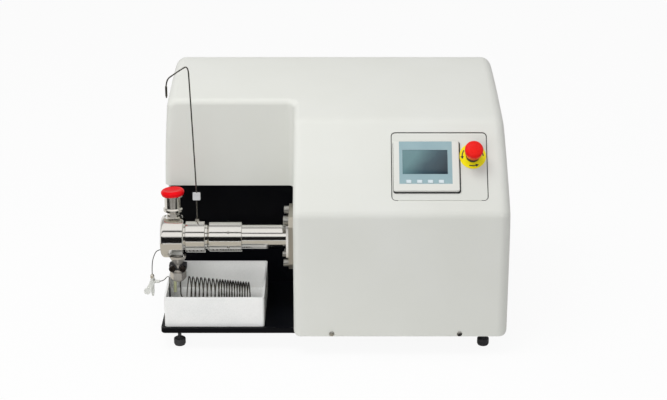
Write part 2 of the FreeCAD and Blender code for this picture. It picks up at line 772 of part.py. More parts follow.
def make_cover():
    """Moulded shell, open below, with the bay, the panel cut-out, the pump port and the rear opening."""
    outer = stepped_body(0).cut(bay_opening(0))
    inner = stepped_body(COVER_WALL).cut(bay_opening(COVER_WALL))
    shell = outer.cut(inner)
    underside = block(-HALF_WIDTH + RETURN_LIP, HALF_WIDTH - RETURN_LIP, RETURN_LIP, COVER_DEPTH - RETURN_LIP,
                      COVER_BOTTOM - 1, COVER_BOTTOM + COVER_WALL + 1)
    plate_slot = block(-HALF_WIDTH, MAIN_LEFT + RETURN_LIP, PLATE_FRONT - PLATE_CLEARANCE, BAY_BACK,
                       COVER_BOTTOM - 1, PLATE_TOP + PLATE_CLEARANCE)
    panel_hole = rounded_plate(PANEL_WIDTH + 2 * PANEL_GAP, PANEL_HEIGHT + 2 * PANEL_GAP, 4 * COVER_WALL,
                               PANEL_CORNER_ROUND + PANEL_GAP)
    port = rod(COVER_PORT_DIAMETER / 2, vec(MAIN_LEFT - 1, PUMP_Y, PUMP_Z),
               vec(MAIN_LEFT + COVER_WALL + 1, PUMP_Y, PUMP_Z))
    rear_hole = block(-REAR_OPENING_WIDTH / 2, REAR_OPENING_WIDTH / 2, REAR_INSIDE - 1, COVER_DEPTH + 1,
                      REAR_OPENING_BOTTOM, REAR_OPENING_TOP)
    corner_room = block(MAIN_LEFT, 0, -1, PLATE_FRONT, 0, CREASE_HEIGHT)
    main_corner = corner_cutter(MAIN_LEFT, 1, 0).common(corner_room)
    cuts = [underside, plate_slot, main_corner, port, rear_hole,
            on_face(panel_hole, PANEL_X, PANEL_UP, -2 * COVER_WALL)]
    return shell.cut(cuts)


def make_bay_liner():
    """Black sheet bent once: the bay's back and ceiling."""
    left = -HALF_WIDTH + COVER_WALL + LINER_SIDE_GAP
    right = MAIN_LEFT + COVER_WALL
    back = block(left, right, BAY_BACK, BAY_BACK + LINER_THICKNESS, PLATE_TOP, BAY_CEILING + LINER_THICKNESS)
    ceiling = block(left, right, HEAD_BLOCK_FRONT + COVER_WALL + LINER_FRONT_GAP, BAY_BACK, BAY_CEILING,
                    BAY_CEILING + LINER_THICKNESS)
    return fused([back, ceiling])


def plate_outline():
    """Outline of the base plate: full width in the bay, narrower behind it."""
    left = -HALF_WIDTH
    inner = HALF_WIDTH - RETURN_LIP
    back = COVER_DEPTH - RETURN_LIP
    step = BAY_BACK - PLATE_CLEARANCE
    corners = [vec(left, PLATE_FRONT, 0), vec(inner, PLATE_FRONT, 0), vec(inner, back, 0),
               vec(-inner, back, 0), vec(-inner, step, 0), vec(left, step, 0)]
    return Part.makePolygon(corners + corners[:1])


def foot_places():
    """Name, X and Y of each levelling foot."""
    return [(side + "_" + end, FOOT_MIDDLE + sign * FOOT_SPREAD / 2, y)
            for side, sign in (("left", -1), ("right", 1))
            for end, y in (("front", FOOT_FRONT), ("rear", FOOT_REAR))]


def make_base_plate():
    """Black base plate with a hole for each levelling foot."""
    plate = Part.Face(plate_outline()).extrude(vec(0, 0, PLATE_THICKNESS))
    plate.translate(vec(0, 0, PLATE_BOTTOM))
    corner = [edge for edge in plate.Edges if edge.BoundBox.ZLength > 1
              and abs(edge.BoundBox.XMin + HALF_WIDTH) < 1e-3
              and abs(edge.BoundBox.YMin - PLATE_FRONT) < 1e-3]
    plate = plate.makeFillet(PLATE_CORNER_ROUND, corner)
    lower = [edge for edge in edges_in_plane(plate, "z", PLATE_BOTTOM)
             if edge.BoundBox.YMax < BAY_BACK - PLATE_CLEARANCE + 1e-3 and edge.BoundBox.XMin < MAIN_LEFT
             and edge.BoundBox.YMin < BAY_BACK / 2]
    plate = plate.makeFillet(PLATE_EDGE_ROUND, lower)
    hole = FOOT_STUD_DIAMETER / 2 + RUNNING_CLEARANCE
    for _name, x, y in foot_places():
        plate = plate.cut(rod(hole, vec(x, y, 0), vec(x, y, PLATE_TOP + 1)))
    return plate


def make_foot(x, y):
    """Levelling foot: round pad and threaded stud."""
    pad = FOOT_DIAMETER / 2
    stud = FOOT_STUD_DIAMETER / 2
    neck = stud + FOOT_NECK_RISE
    pad_top = FOOT_HEIGHT - FOOT_NECK_RISE
    outline = [(0, 0), (pad - FOOT_PAD_BEVEL, 0), (pad, FOOT_PAD_BEVEL), (pad, pad_top - FOOT_PAD_BEVEL),
               (pad - FOOT_EDGE_BEVEL, pad_top), (neck, pad_top), (neck, FOOT_HEIGHT), (stud, FOOT_HEIGHT),
               (stud, FOOT_STUD_TOP), (0, FOOT_STUD_TOP)]
    return placed(turned(outline), vec(x, y, 0), vec(0, 0, 1))


def make_lock_nuts():
    """Hexagonal lock nut under the plate at each foot."""
    nuts = []
    for _name, x, y in foot_places():
        nut = hexagon(LOCK_NUT_ACROSS_FLATS, LOCK_NUT_HEIGHT)
        nut = nut.cut(rod(FOOT_STUD_DIAMETER / 2 + RUNNING_CLEARANCE, vec(0, 0, -1),
                          vec(0, 0, LOCK_NUT_HEIGHT + 1)))
        nut.translate(vec(x, y, PLATE_BOTTOM - LOCK_NUT_HEIGHT))
        nuts.append(nut)
    return nuts


def make_tray():
    """Ice-bath tray: open box with round corners."""
    body = rounded_plate(TRAY_WIDTH, TRAY_DEPTH, TRAY_HEIGHT, TRAY_CORNER_ROUND)
    room = rounded_plate(TRAY_WIDTH - 2 * TRAY_WALL, TRAY_DEPTH - 2 * TRAY_WALL, TRAY_HEIGHT,
                         TRAY_CORNER_ROUND - TRAY_WALL / 2)
    room.translate(vec(0, 0, TRAY_WALL))
    tray = body.cut(room)
    tray.translate(vec(TRAY_LEFT + TRAY_WIDTH / 2, TRAY_FRONT + TRAY_DEPTH / 2, PLATE_TOP))
    return tray


def coil_axis_point(along):
    """Point on the coil's axis, which drops evenly from left to right."""
    return vec(COIL_LEFT + along, COIL_AXIS_Y, COIL_RIGHT_Z + COIL_LIFT * (1 - along / COIL_LENGTH))


def make_cooling_coil():
    """Tube wound in half turns, each a plane arc that is tangent to the next."""
    advances = [OPEN_PITCH / 2] * (2 * OPEN_TURNS) + [CLOSE_PITCH / 2] * (2 * CLOSE_TURNS)
    down = vec(0, 0, -COIL_RADIUS)
    along = 0.0
    start = coil_axis_point(0) + down
    spin = 360 / COIL_SECTION_SIDES
    ring = [start + FreeCAD.Rotation(vec(0, 1, 0), spin * i).multVec(vec(0, 0, LINE_DIAMETER / 2))
            for i in range(COIL_SECTION_SIDES)]
    section = Part.Face(Part.makePolygon(ring + ring[:1]))
    walls = []
    caps = [section]
    for index, advance in enumerate(advances):
        upward = index % 2 == 0
        radial = vec(0, 0, COIL_RADIUS) if upward else down
        end = coil_axis_point(along + advance) + radial
        centre = (start + end) * 0.5
        normal = (end - start).cross(vec(0, 1, 0) if upward else vec(0, -1, 0)).normalize()
        swept = section.revolve(centre, normal, 180)
        flat = [face for face in swept.Faces if face.Surface.isPlanar()
                and face.BoundBox.YLength < 1e-3]
        walls += [face for face in swept.Faces if not any(face.isSame(cap) for cap in flat)]
        section = section.copy()
        section.rotate(centre, normal, 180)
        start = end
        along += advance
    caps.append(section)
    shell = Part.Shell(walls + caps)
    shell.sewShape()
    return Part.Solid(shell)


def make_pump_head():
    """Round head with a blind pressure bore, two valve pockets and a flat at the top and below."""
    head = pump_rod(HEAD_DIAMETER, HEAD_LEFT, HEAD_RIGHT)
    head = head.makeFillet(HEAD_ROUND, edges_in_plane(head, "x", HEAD_LEFT))
    head = head.makeChamfer(HEAD_CHAMFER, edges_in_plane(head, "x", HEAD_RIGHT))
    bore = pump_rod(PUMP_BORE, HEAD_RIGHT - HEAD_BORE_DEPTH, HEAD_RIGHT + 1)
    pocket = VALVE_POCKET / 2 + RUNNING_CLEARANCE
    spot = SPOT_FACE_DIAMETER / 2
    inlet_pocket = rod(pocket, vec(INLET_X, PUMP_Y, HEAD_TOP - INLET_POCKET_DEPTH),
                       vec(INLET_X, PUMP_Y, HEAD_TOP + 1))
    outlet_pocket = rod(pocket, vec(OUTLET_X, PUMP_Y, HEAD_BOTTOM - 1),
                        vec(OUTLET_X, PUMP_Y, HEAD_BOTTOM + OUTLET_POCKET_DEPTH))
    inlet_way = rod(VALVE_SEAT_BORE / 2, vec(INLET_X, PUMP_Y, PUMP_Z), vec(INLET_X, PUMP_Y, HEAD_TOP))
    outlet_way = rod(VALVE_SEAT_BORE / 2, vec(OUTLET_X, PUMP_Y, HEAD_BOTTOM), vec(OUTLET_X, PUMP_Y, PUMP_Z))
    top_flat = rod(spot, vec(INLET_X, PUMP_Y, NECK_BASE), vec(INLET_X, PUMP_Y, HEAD_TOP + SPOT_REACH))
    low_flat = rod(spot, vec(OUTLET_X, PUMP_Y, HEAD_BOTTOM - SPOT_REACH), vec(OUTLET_X, PUMP_Y, CHAMBER_TOP))
    return head.cut([bore, inlet_pocket, outlet_pocket, inlet_way, outlet_way, top_flat, low_flat])


def make_collar():
    """Collar with a spigot that meets the head in the dark groove."""
    half = COLLAR_DIAMETER / 2
    neck = SPIGOT_DIAMETER / 2
    collar = on_pump_axis([(PUMP_BORE / 2, HEAD_RIGHT), (neck, HEAD_RIGHT), (neck, COLLAR_LEFT),
                           (half - COLLAR_CHAMFER, COLLAR_LEFT), (half, COLLAR_LEFT + COLLAR_CHAMFER),
                           (half, COLLAR_RIGHT - COLLAR_CHAMFER), (half - COLLAR_CHAMFER, COLLAR_RIGHT),
                           (PUMP_BORE / 2, COLLAR_RIGHT)])
    top = PUMP_Z + half
    port = rod(LINE_DIAMETER / 2 + RUNNING_CLEARANCE, vec(RISER_X, PUMP_Y, top - SPIGOT_LENGTH),
               vec(RISER_X, PUMP_Y, top + 1))
    return collar.cut(port)


def make_ring_nut():
    """Ring nut over the barrel, with radial holes for a pin spanner."""
    half = RING_NUT_DIAMETER / 2
    hole = BARREL_DIAMETER / 2 + RUNNING_CLEARANCE
    nut = on_pump_axis([(hole, RING_NUT_LEFT), (half - RING_NUT_CHAMFER, RING_NUT_LEFT),
                        (half, RING_NUT_LEFT + RING_NUT_CHAMFER), (half, RING_NUT_RIGHT - 1),
                        (half - 1, RING_NUT_RIGHT), (hole, RING_NUT_RIGHT)])
    centre = vec(RING_NUT_RIGHT - SPANNER_HOLE_INSET, PUMP_Y, PUMP_Z)
    holes = []
    for index in range(SPANNER_HOLES):
        angle = math.radians(SPANNER_FIRST_ANGLE + 360 * index / SPANNER_HOLES)
        out = vec(0, -math.cos(angle), math.sin(angle))
        holes.append(rod(SPANNER_HOLE_DIAMETER / 2, centre + out * (half - SPANNER_HOLE_DEPTH),
                         centre + out * (half + 1)))
    return nut.cut(holes)


def make_barrel():
    """Barrel with its square flange, stepped inside for the seals."""
    half = BARREL_DIAMETER / 2
    seal_left = FLANGE_PLATE_LEFT - GUIDE_BUSH_LENGTH - SEAL_LENGTH
    tube = on_pump_axis([(PUMP_BORE / 2, COLLAR_RIGHT), (half, COLLAR_RIGHT), (half, FLANGE_PLATE_LEFT),
                         (SEAL_BORE / 2, FLANGE_PLATE_LEFT), (SEAL_BORE / 2, seal_left),
                         (PUMP_BORE / 2, seal_left)])
    flange = rounded_plate(BARREL_FLANGE_SIZE, BARREL_FLANGE_SIZE, BARREL_FLANGE_THICKNESS,
                           BARREL_FLANGE_ROUND)
    flange = placed(flange, vec(FLANGE_PLATE_LEFT - BARREL_FLANGE_THICKNESS, PUMP_Y, PUMP_Z), vec(1, 0, 0))
    flange = flange.cut(pump_rod(BARREL_DIAMETER - 2, COLLAR_RIGHT, MAIN_LEFT))
    return fused([tube, flange])


def make_flange_plate():
    """Square plate with cut corners that carries the barrel on the main block's side."""
    half = FLANGE_PLATE_SIZE / 2
    cut = half - FLANGE_CORNER_CUT
    corners = [vec(0, -half, -cut), vec(0, -cut, -half), vec(0, cut, -half), vec(0, half, -cut),
               vec(0, half, cut), vec(0, cut, half), vec(0, -cut, half), vec(0, -half, cut)]
    plate = Part.Face(Part.makePolygon(corners + corners[:1])).extrude(vec(FLANGE_PLATE_THICKNESS, 0, 0))
    plate.translate(vec(FLANGE_PLATE_LEFT, PUMP_Y, PUMP_Z))
    return plate.cut(pump_rod(PLUNGER_DIAMETER + 4, FLANGE_PLATE_LEFT - 1, MAIN_LEFT + 1))


def socket_screw(diameter, height, seat, outward):
    """Cylindrical screw head with a hexagon socket, its seat on a face and its top outward."""
    head = rod(diameter / 2, vec(0, 0, 0), vec(0, 0, height))
    head = head.makeChamfer(diameter * SCREW_CHAMFER_SHARE, edges_in_plane(head, "z", height))
    socket = hexagon(diameter * SCREW_SOCKET_SHARE, height)
    socket.translate(vec(0, 0, height / 2))
    return placed(head.cut(socket), seat, outward)


def make_flange_screws():
    """Eight socket screws: four on the plate's corners, four on the inner flange."""
    screws = []
    inner_face = FLANGE_PLATE_LEFT - BARREL_FLANGE_THICKNESS
    outward = vec(-1, 0, 0)
    for y_sign in (-1, 1):
        for z_sign in (-1, 1):
            inner = INNER_SCREW_SPACING / 2
            outer_seat = vec(FLANGE_PLATE_LEFT, PUMP_Y + y_sign * OUTER_SCREW_SPREAD / 2,
                             PUMP_Z + z_sign * OUTER_SCREW_SPACING / 2)
            screws.append(socket_screw(OUTER_SCREW_HEAD_DIAMETER, OUTER_SCREW_HEAD_HEIGHT, outer_seat,
                                       outward))
            screws.append(socket_screw(INNER_SCREW_HEAD_DIAMETER, INNER_SCREW_HEAD_HEIGHT,
                                       vec(inner_face, PUMP_Y + y_sign * inner, PUMP_Z + z_sign * inner),
                                       outward))
    return group(screws)


def make_seal_ring():
    """Seal ring round the plunger."""
    left = FLANGE_PLATE_LEFT - GUIDE_BUSH_LENGTH - SEAL_LENGTH
    outer = SEAL_BORE / 2
    inner = PLUNGER_DIAMETER / 2 + RUNNING_CLEARANCE
    right = left + SEAL_LENGTH
    return on_pump_axis([(inner, left), (outer, left), (outer, right), (inner, right)])


def make_guide_bush():
    """Bronze bush between the seals and the flange plate."""
    left = FLANGE_PLATE_LEFT - GUIDE_BUSH_LENGTH
    outer = SEAL_BORE / 2
    inner = PLUNGER_DIAMETER / 2 + RUNNING_CLEARANCE
    right = FLANGE_PLATE_LEFT
    return on_pump_axis([(inner, left), (outer, left), (outer, right), (inner, right)])


def valve_seat(x, bottom):
    """Seat ring in a valve pocket."""
    outer = rod(VALVE_POCKET / 2, vec(x, PUMP_Y, bottom), vec(x, PUMP_Y, bottom + VALVE_SEAT_HEIGHT))
    return outer.cut(rod(VALVE_SEAT_BORE / 2, vec(x, PUMP_Y, bottom - 1),
                         vec(x, PUMP_Y, bottom + VALVE_SEAT_HEIGHT + 1)))


def make_valve_seats():
    """Seats pressed into the head's two pockets."""
    return [valve_seat(INLET_X, INLET_SEAT_BOTTOM), valve_seat(OUTLET_X, OUTLET_SEAT_BOTTOM)]


def valve_ball(x, seat_bottom):
    """Ball just under its seat."""
    radius = VALVE_BALL_DIAMETER / 2
    drop = math.sqrt(radius ** 2 - (VALVE_SEAT_BORE / 2) ** 2) + SEAT_GAP
    return Part.makeSphere(radius, vec(x, PUMP_Y, seat_bottom - drop))


INLET_SEAT_BOTTOM = NECK_BASE - SPIGOT_LENGTH - VALVE_SEAT_HEIGHT + 4
OUTLET_SEAT_BOTTOM = HEAD_BOTTOM + OUTLET_POCKET_DEPTH - VALVE_SEAT_HEIGHT


def make_inlet_neck():
    """Hexagon, bulge and polished neck with a ferrule flange, hollow as a small sample cup."""
    outer = NECK_DIAMETER / 2
    inner = outer - NECK_WALL
    bulge = NECK_BULGE_DIAMETER / 2
    hex_top = NECK_BASE + NECK_HEX_HEIGHT
    bulge_top = hex_top + NECK_BULGE_HEIGHT
    flange = NECK_FLANGE_DIAMETER / 2
    way = VALVE_SEAT_BORE / 2
    spigot = VALVE_POCKET / 2
    outline = [(way, INLET_SEAT_BOTTOM + VALVE_SEAT_HEIGHT), (spigot, INLET_SEAT_BOTTOM + VALVE_SEAT_HEIGHT),
               (spigot, hex_top - 1), (bulge - 6, hex_top - 1), (bulge, hex_top + 2), (bulge, bulge_top - 2),
               (outer, bulge_top + 1), (outer, NECK_TOP - NECK_FLANGE_THICKNESS - 2),
               (flange, NECK_TOP - NECK_FLANGE_THICKNESS), (flange, NECK_TOP), (inner, NECK_TOP),
               (inner, bulge_top), (way, hex_top + 2)]
    neck = placed(turned(outline), vec(INLET_X, PUMP_Y, 0), vec(0, 0, 1))
    nut = hexagon(NECK_HEX, NECK_HEX_HEIGHT)
    nut.translate(vec(INLET_X, PUMP_Y, NECK_BASE))
    nut = nut.cut(rod(spigot - 1, vec(INLET_X, PUMP_Y, NECK_BASE - 1), vec(INLET_X, PUMP_Y, hex_top + 1)))
    return fused([neck, nut])


def make_inlet_cap():
    """Red cap that sits slightly askew on the neck's flange."""
    outer = CAP_DIAMETER / 2
    inner = outer - CAP_WALL
    dish = CAP_DISH_DIAMETER / 2
    tilt_rise = NECK_FLANGE_DIAMETER / 2 * math.tan(math.radians(CAP_TILT)) + SEAT_GAP
    outline = [(0, tilt_rise), (inner, tilt_rise), (inner, -CAP_SKIRT), (outer, -CAP_SKIRT),
               (outer, CAP_HEIGHT - CAP_ROUND), (outer - CAP_ROUND_KNEE, CAP_HEIGHT - CAP_ROUND_KNEE),
               (outer - CAP_ROUND, CAP_HEIGHT), (dish, CAP_HEIGHT),
               (dish - CAP_DISH_DEPTH, CAP_HEIGHT - CAP_DISH_DEPTH), (0, CAP_HEIGHT - CAP_DISH_DEPTH)]
    cap = turned(outline)
    cap.rotate(vec(0, 0, 0), vec(0, 1, 0), -CAP_TILT)
    cap.translate(vec(INLET_X, PUMP_Y, NECK_TOP))
    return cap


def make_interaction_chamber():
    """Cone under the head, with the stem that the clamp grips and the outlet way through it."""
    stem = CHAMBER_STEM_DIAMETER / 2
    spigot = VALVE_POCKET / 2
    way = VALVE_SEAT_BORE / 2
    outline = [(way, CHAMBER_NUT_TOP), (stem, CHAMBER_NUT_TOP), (stem, CLAMP_TOP),
               (CONE_TOP_DIAMETER / 2, CHAMBER_TOP - 4), (CONE_TOP_DIAMETER / 2, CHAMBER_TOP),
               (spigot, CHAMBER_TOP), (spigot, CHAMBER_TOP + SPIGOT_LENGTH),
               (way, CHAMBER_TOP + SPIGOT_LENGTH)]
    return placed(turned(outline), vec(OUTLET_X, PUMP_Y, 0), vec(0, 0, 1))


def make_chamber_clamp():
    """Black split clamp round the chamber's stem."""
    clamp = rounded_plate(CLAMP_WIDTH, CLAMP_DEPTH, CLAMP_HEIGHT, CLAMP_CORNER_ROUND)
    clamp.translate(vec(OUTLET_X, PUMP_Y, CHAMBER_NUT_TOP))
    bore = CHAMBER_STEM_DIAMETER / 2 + RUNNING_CLEARANCE
    return clamp.cut(rod(bore, vec(OUTLET_X, PUMP_Y, CHAMBER_NUT_TOP - 1),
                         vec(OUTLET_X, PUMP_Y, CLAMP_TOP + 1)))


def make_clamp_screws():
    """Two socket screws in the clamp's front."""
    middle = (CHAMBER_NUT_TOP + CLAMP_TOP) / 2
    front = PUMP_Y - CLAMP_DEPTH / 2
    seats = [vec(OUTLET_X + sign * CLAMP_SCREW_SPACING / 2, front, middle) for sign in (-1, 1)]
    return [socket_screw(CLAMP_SCREW_DIAMETER, CLAMP_SCREW_HEIGHT, seat, vec(0, -1, 0)) for seat in seats]


def make_chamber_nut():
    """Hexagonal outlet nut that tapers to a flat tip."""
    reach = CHAMBER_NUT_HEX / math.sqrt(3)
    nut = hexagon(CHAMBER_NUT_HEX, CHAMBER_NUT_HEIGHT)
    envelope = turned([(LINE_DIAMETER / 2, 0), (CHAMBER_NUT_TIP / 2, 0), (reach, CHAMBER_NUT_TAPER),
                       (reach, CHAMBER_NUT_HEIGHT - 1), (reach - CHAMBER_NUT_CHAMFER, CHAMBER_NUT_HEIGHT),
                       (LINE_DIAMETER / 2, CHAMBER_NUT_HEIGHT)])
    nut = nut.common(envelope)
    nut.translate(vec(OUTLET_X, PUMP_Y, CHAMBER_NUT_BOTTOM))
    return nut


def make_drain_tube():
    """Short translucent tube under the chamber nut."""
    x = OUTLET_X + DRAIN_OFFSET
    top = CHAMBER_NUT_BOTTOM
    outer = rod(DRAIN_DIAMETER / 2, vec(x, PUMP_Y, top - DRAIN_LENGTH), vec(x, PUMP_Y, top))
    return outer.cut(rod(DRAIN_DIAMETER / 2 - DRAIN_WALL, vec(x, PUMP_Y, top - DRAIN_LENGTH - 1),
                         vec(x, PUMP_Y, top - 2)))


def make_outlet_tube():
    """Thin tube from the chamber nut down to the start of the coil."""
    coil_start = coil_axis_point(0) + vec(0, 0, -COIL_RADIUS)
    x = OUTLET_X + OUTLET_TUBE_OFFSET
    points = [vec(x, PUMP_Y, CHAMBER_NUT_BOTTOM), vec(x, PUMP_Y, coil_start.z + OUTLET_TUBE_DROP_END),
              vec(coil_start.x, PUMP_Y - OUTLET_TUBE_SWING, coil_start.z),
              vec(coil_start.x, coil_start.y, coil_start.z)]
    return pipe(points, LINE_DIAMETER, OUTLET_TUBE_BEND)


def spout_points():
    """Route of the spout, from the collar up over the machine and down to the inlet."""
    top_x = RISER_X - RISER_LEAN
    return [vec(RISER_X, PUMP_Y, PUMP_Z + COLLAR_DIAMETER / 2 - SPIGOT_LENGTH + SEAT_GAP),
            vec(RISER_X, PUMP_Y, CLIP_BOTTOM + CLIP_SIZE + SPOUT_BEND),
            vec(top_x, PUMP_Y, SPOUT_PEAK + SPOUT_BEND / 2),
            vec(SPOUT_REACH, PUMP_Y, SPOUT_PEAK - SPOUT_DROP),
            vec(SPOUT_REACH, PUMP_Y, SPOUT_TIP)]


def make_spout():
    """Gooseneck of thin steel tube, thicker over its last stretch."""
    start = vec(SPOUT_REACH, PUMP_Y, SPOUT_TIP + SPOUT_SLEEVE_INSET)
    end = vec(SPOUT_REACH, PUMP_Y, SPOUT_TIP + SPOUT_SLEEVE_INSET + SPOUT_SLEEVE_LENGTH)
    sleeve = rod(SPOUT_SLEEVE_DIAMETER / 2, start, end)
    return fused([pipe(spout_points(), LINE_DIAMETER, SPOUT_BEND), sleeve])


def make_riser_fitting():
    """Small gland on the collar that the riser turns in."""
    top = PUMP_Z + COLLAR_DIAMETER / 2
    outer = rod(RISER_FITTING_DIAMETER / 2, vec(RISER_X, PUMP_Y, top - 0.5),
                vec(RISER_X, PUMP_Y, top + RISER_FITTING_HEIGHT))
    outer = outer.cut(pump_rod(COLLAR_DIAMETER, COLLAR_LEFT, COLLAR_RIGHT))
    return outer.cut(rod(LINE_DIAMETER / 2 + RUNNING_CLEARANCE, vec(RISER_X, PUMP_Y, top - 1),
                         vec(RISER_X, PUMP_Y, top + RISER_FITTING_HEIGHT + 1)))


def make_riser_clip():
    """Clear square clip on the riser."""
    half = CLIP_SIZE / 2
    clip = rounded_plate(CLIP_SIZE, CLIP_SIZE, CLIP_THICKNESS, CLIP_CORNER_ROUND)
    clip = placed(clip, vec(RISER_X, PUMP_Y + CLIP_THICKNESS / 2, CLIP_BOTTOM + half), vec(0, -1, 0))
    return clip.cut(rod(LINE_DIAMETER / 2, vec(RISER_X, PUMP_Y, CLIP_BOTTOM - 1),
                        vec(RISER_X, PUMP_Y, CLIP_BOTTOM + CLIP_SIZE + 1)))


def make_sample_line():
    """Thin line from the head's end down to the stopcock."""
    port_z = PUMP_Z - SAMPLE_PORT_DROP
    top = STOPCOCK_TOP + FERRULE_HEIGHT
    points = [vec(HEAD_LEFT, PUMP_Y, port_z), vec(HEAD_LEFT - SAMPLE_LINE_REACH, PUMP_Y, port_z),
              vec(STOPCOCK_X, STOPCOCK_Y, port_z - SAMPLE_LINE_FALL), vec(STOPCOCK_X, STOPCOCK_Y, top)]
    return pipe(points, SAMPLE_LINE_DIAMETER, SAMPLE_LINE_BEND)


def make_ferrule():
    """Metal ferrule between the sample line and the stopcock."""
    outer = FERRULE_DIAMETER / 2
    turned_ferrule = turned([(0, 0), (outer, 0), (outer, FERRULE_HEIGHT - FERRULE_TAPER),
                             (SAMPLE_LINE_DIAMETER, FERRULE_HEIGHT), (0, FERRULE_HEIGHT)])
    return placed(turned_ferrule, vec(STOPCOCK_X, STOPCOCK_Y, STOPCOCK_TOP), vec(0, 0, 1))


def make_stopcock_body():
    """Clear stopcock: upright ports, a branch to the right and a cross barrel bored for the plug."""
    z = STOPCOCK_TOP - STOPCOCK_BARREL_DROP
    port = STOPCOCK_PORT_DIAMETER / 2
    half = STOPCOCK_BARREL_LENGTH / 2
    tip = vec(STOPCOCK_X, STOPCOCK_Y, STOPCOCK_TOP - STOPCOCK_LENGTH)
    upright = rod(port, tip + vec(0, 0, STOPCOCK_NOZZLE_LENGTH), vec(STOPCOCK_X, STOPCOCK_Y, STOPCOCK_TOP))
    nozzle = Part.makeCone(STOPCOCK_NOZZLE_TIP, port, STOPCOCK_NOZZLE_LENGTH, tip)
    branch = rod(port, vec(STOPCOCK_X, STOPCOCK_Y, z), vec(STOPCOCK_X + STOPCOCK_BRANCH, STOPCOCK_Y, z))
    barrel = rod(STOPCOCK_BARREL_DIAMETER / 2, vec(STOPCOCK_X, STOPCOCK_Y - half, z),
                 vec(STOPCOCK_X, STOPCOCK_Y + half, z))
    plug = rod(STOPCOCK_PLUG_DIAMETER / 2 + RUNNING_CLEARANCE, vec(STOPCOCK_X, STOPCOCK_Y - half - 1, z),
               vec(STOPCOCK_X, STOPCOCK_Y + half - 2, z))
    return fused([upright, nozzle, branch, barrel]).cut(plug)


def make_stopcock_handle():
    """Plug and paddle handle."""
    z = STOPCOCK_TOP - STOPCOCK_BARREL_DROP
    half = STOPCOCK_BARREL_LENGTH / 2
    plug = rod(STOPCOCK_PLUG_DIAMETER / 2, vec(0, -half - 1, 0), vec(0, half - 2 - SEAT_GAP, 0))
    front = -half - SEAT_GAP - HANDLE_THICKNESS
    back = -half - SEAT_GAP
    end_z = HANDLE_WIDTH / 2 - HANDLE_LENGTH
    hub = rod(HANDLE_HUB_DIAMETER / 2, vec(0, front, 0), vec(0, back, 0))
    end = rod(HANDLE_WIDTH / 2, vec(0, front, end_z), vec(0, back, end_z))
    web = block(-HANDLE_WEB_WIDTH / 2, HANDLE_WEB_WIDTH / 2, front, back, end_z, 0)
    handle = fused([plug, hub, end, web])
    handle.rotate(vec(0, 0, 0), vec(0, 1, 0), HANDLE_REST_ANGLE)
    handle.translate(vec(STOPCOCK_X, STOPCOCK_Y, z))
    return handle


def make_flush_line():
    """Thin line from the stopcock's branch over the tray's rim into the dip sleeve."""
    z = STOPCOCK_TOP - STOPCOCK_BARREL_DROP
    branch_end = vec(STOPCOCK_X + STOPCOCK_BRANCH, STOPCOCK_Y, z)
    sleeve_top = vec(DIP_SLEEVE_X, DIP_SLEEVE_Y, DIP_SLEEVE_TOP)
    crown = vec(DIP_SLEEVE_X - FLUSH_LINE_SET_OFF, STOPCOCK_Y - FLUSH_LINE_SWING,
                DIP_SLEEVE_TOP + FLUSH_LINE_CROWN)
    points = [branch_end, branch_end + vec(FLUSH_LINE_REACH, 0, 0), crown,
              sleeve_top + vec(0, 0, FLUSH_LINE_ENTRY), sleeve_top]
    return pipe(points, SAMPLE_LINE_DIAMETER, FLUSH_LINE_BEND)


def make_dip_sleeve():
    """Black sleeve on the flush line's end."""
    return rod(DIP_SLEEVE_DIAMETER / 2, vec(DIP_SLEEVE_X, DIP_SLEEVE_Y, DIP_SLEEVE_TOP - DIP_SLEEVE_LENGTH),
               vec(DIP_SLEEVE_X, DIP_SLEEVE_Y, DIP_SLEEVE_TOP))


PANEL_SURFACE = -PANEL_RECESS
SCREEN_BACK = PANEL_SURFACE + GASKET_THICKNESS
SCREEN_FRONT = SCREEN_BACK + SCREEN_THICKNESS
POCKET_FLOOR = SCREEN_FRONT - KEY_THICKNESS - KEY_TRAVEL
DISPLAY_PLACE = (SCREEN_X + DISPLAY_ACROSS, SCREEN_UP + DISPLAY_UP)
OVERLAY_PLACE = (SCREEN_X + OVERLAY_ACROSS, SCREEN_UP + (SCREEN_HEIGHT - OVERLAY_HEIGHT) / 2 - OVERLAY_MARGIN)


def screen_hole(width, height, depth_out, depth_in, across, up):
    """Block through the leaning face's pieces."""
    hole = block(-width / 2, width / 2, -height / 2, height / 2, depth_in, depth_out)
    return on_face(hole, across, up, 0)


def key_places():
    """Place of each key: across the machine and up the face."""
    return [(SCREEN_X + KEY_ACROSS + (index - (KEY_COUNT - 1) / 2) * KEY_PITCH, SCREEN_UP + KEY_UP)
            for index in range(KEY_COUNT)]


def make_panel_plate():
    """Plate in the face's cut-out, with a rim behind the cover's wall."""
    plate = rounded_plate(PANEL_WIDTH, PANEL_HEIGHT, COVER_WALL - PANEL_RECESS + PANEL_THICKNESS,
                          PANEL_CORNER_ROUND)
    plate = on_face(plate, PANEL_X, PANEL_UP, -COVER_WALL - PANEL_THICKNESS)
    rim = rounded_plate(PANEL_WIDTH + 2 * PANEL_RIM, PANEL_HEIGHT + 2 * PANEL_RIM, PANEL_THICKNESS,
                        PANEL_CORNER_ROUND + PANEL_RIM)
    rim = on_face(rim, PANEL_X, PANEL_UP, -COVER_WALL - PANEL_THICKNESS)
    body_hole = screen_hole(SCREEN_WIDTH - 2 * SCREEN_BODY_MARGIN + 1,
                            SCREEN_HEIGHT - 2 * SCREEN_BODY_MARGIN + 1,
                            PANEL_HOLE_REACH, -PANEL_HOLE_REACH, SCREEN_X, SCREEN_UP)
    stop_hole = rod(STOP_COLLAR_DIAMETER / 2 - STOP_COLLAR_WALL, vec(0, 0, -PANEL_HOLE_REACH),
                    vec(0, 0, PANEL_HOLE_REACH))
    stop_hole = on_face(stop_hole, STOP_X, STOP_UP, 0)
    return fused([plate, rim]).cut([body_hole, stop_hole])


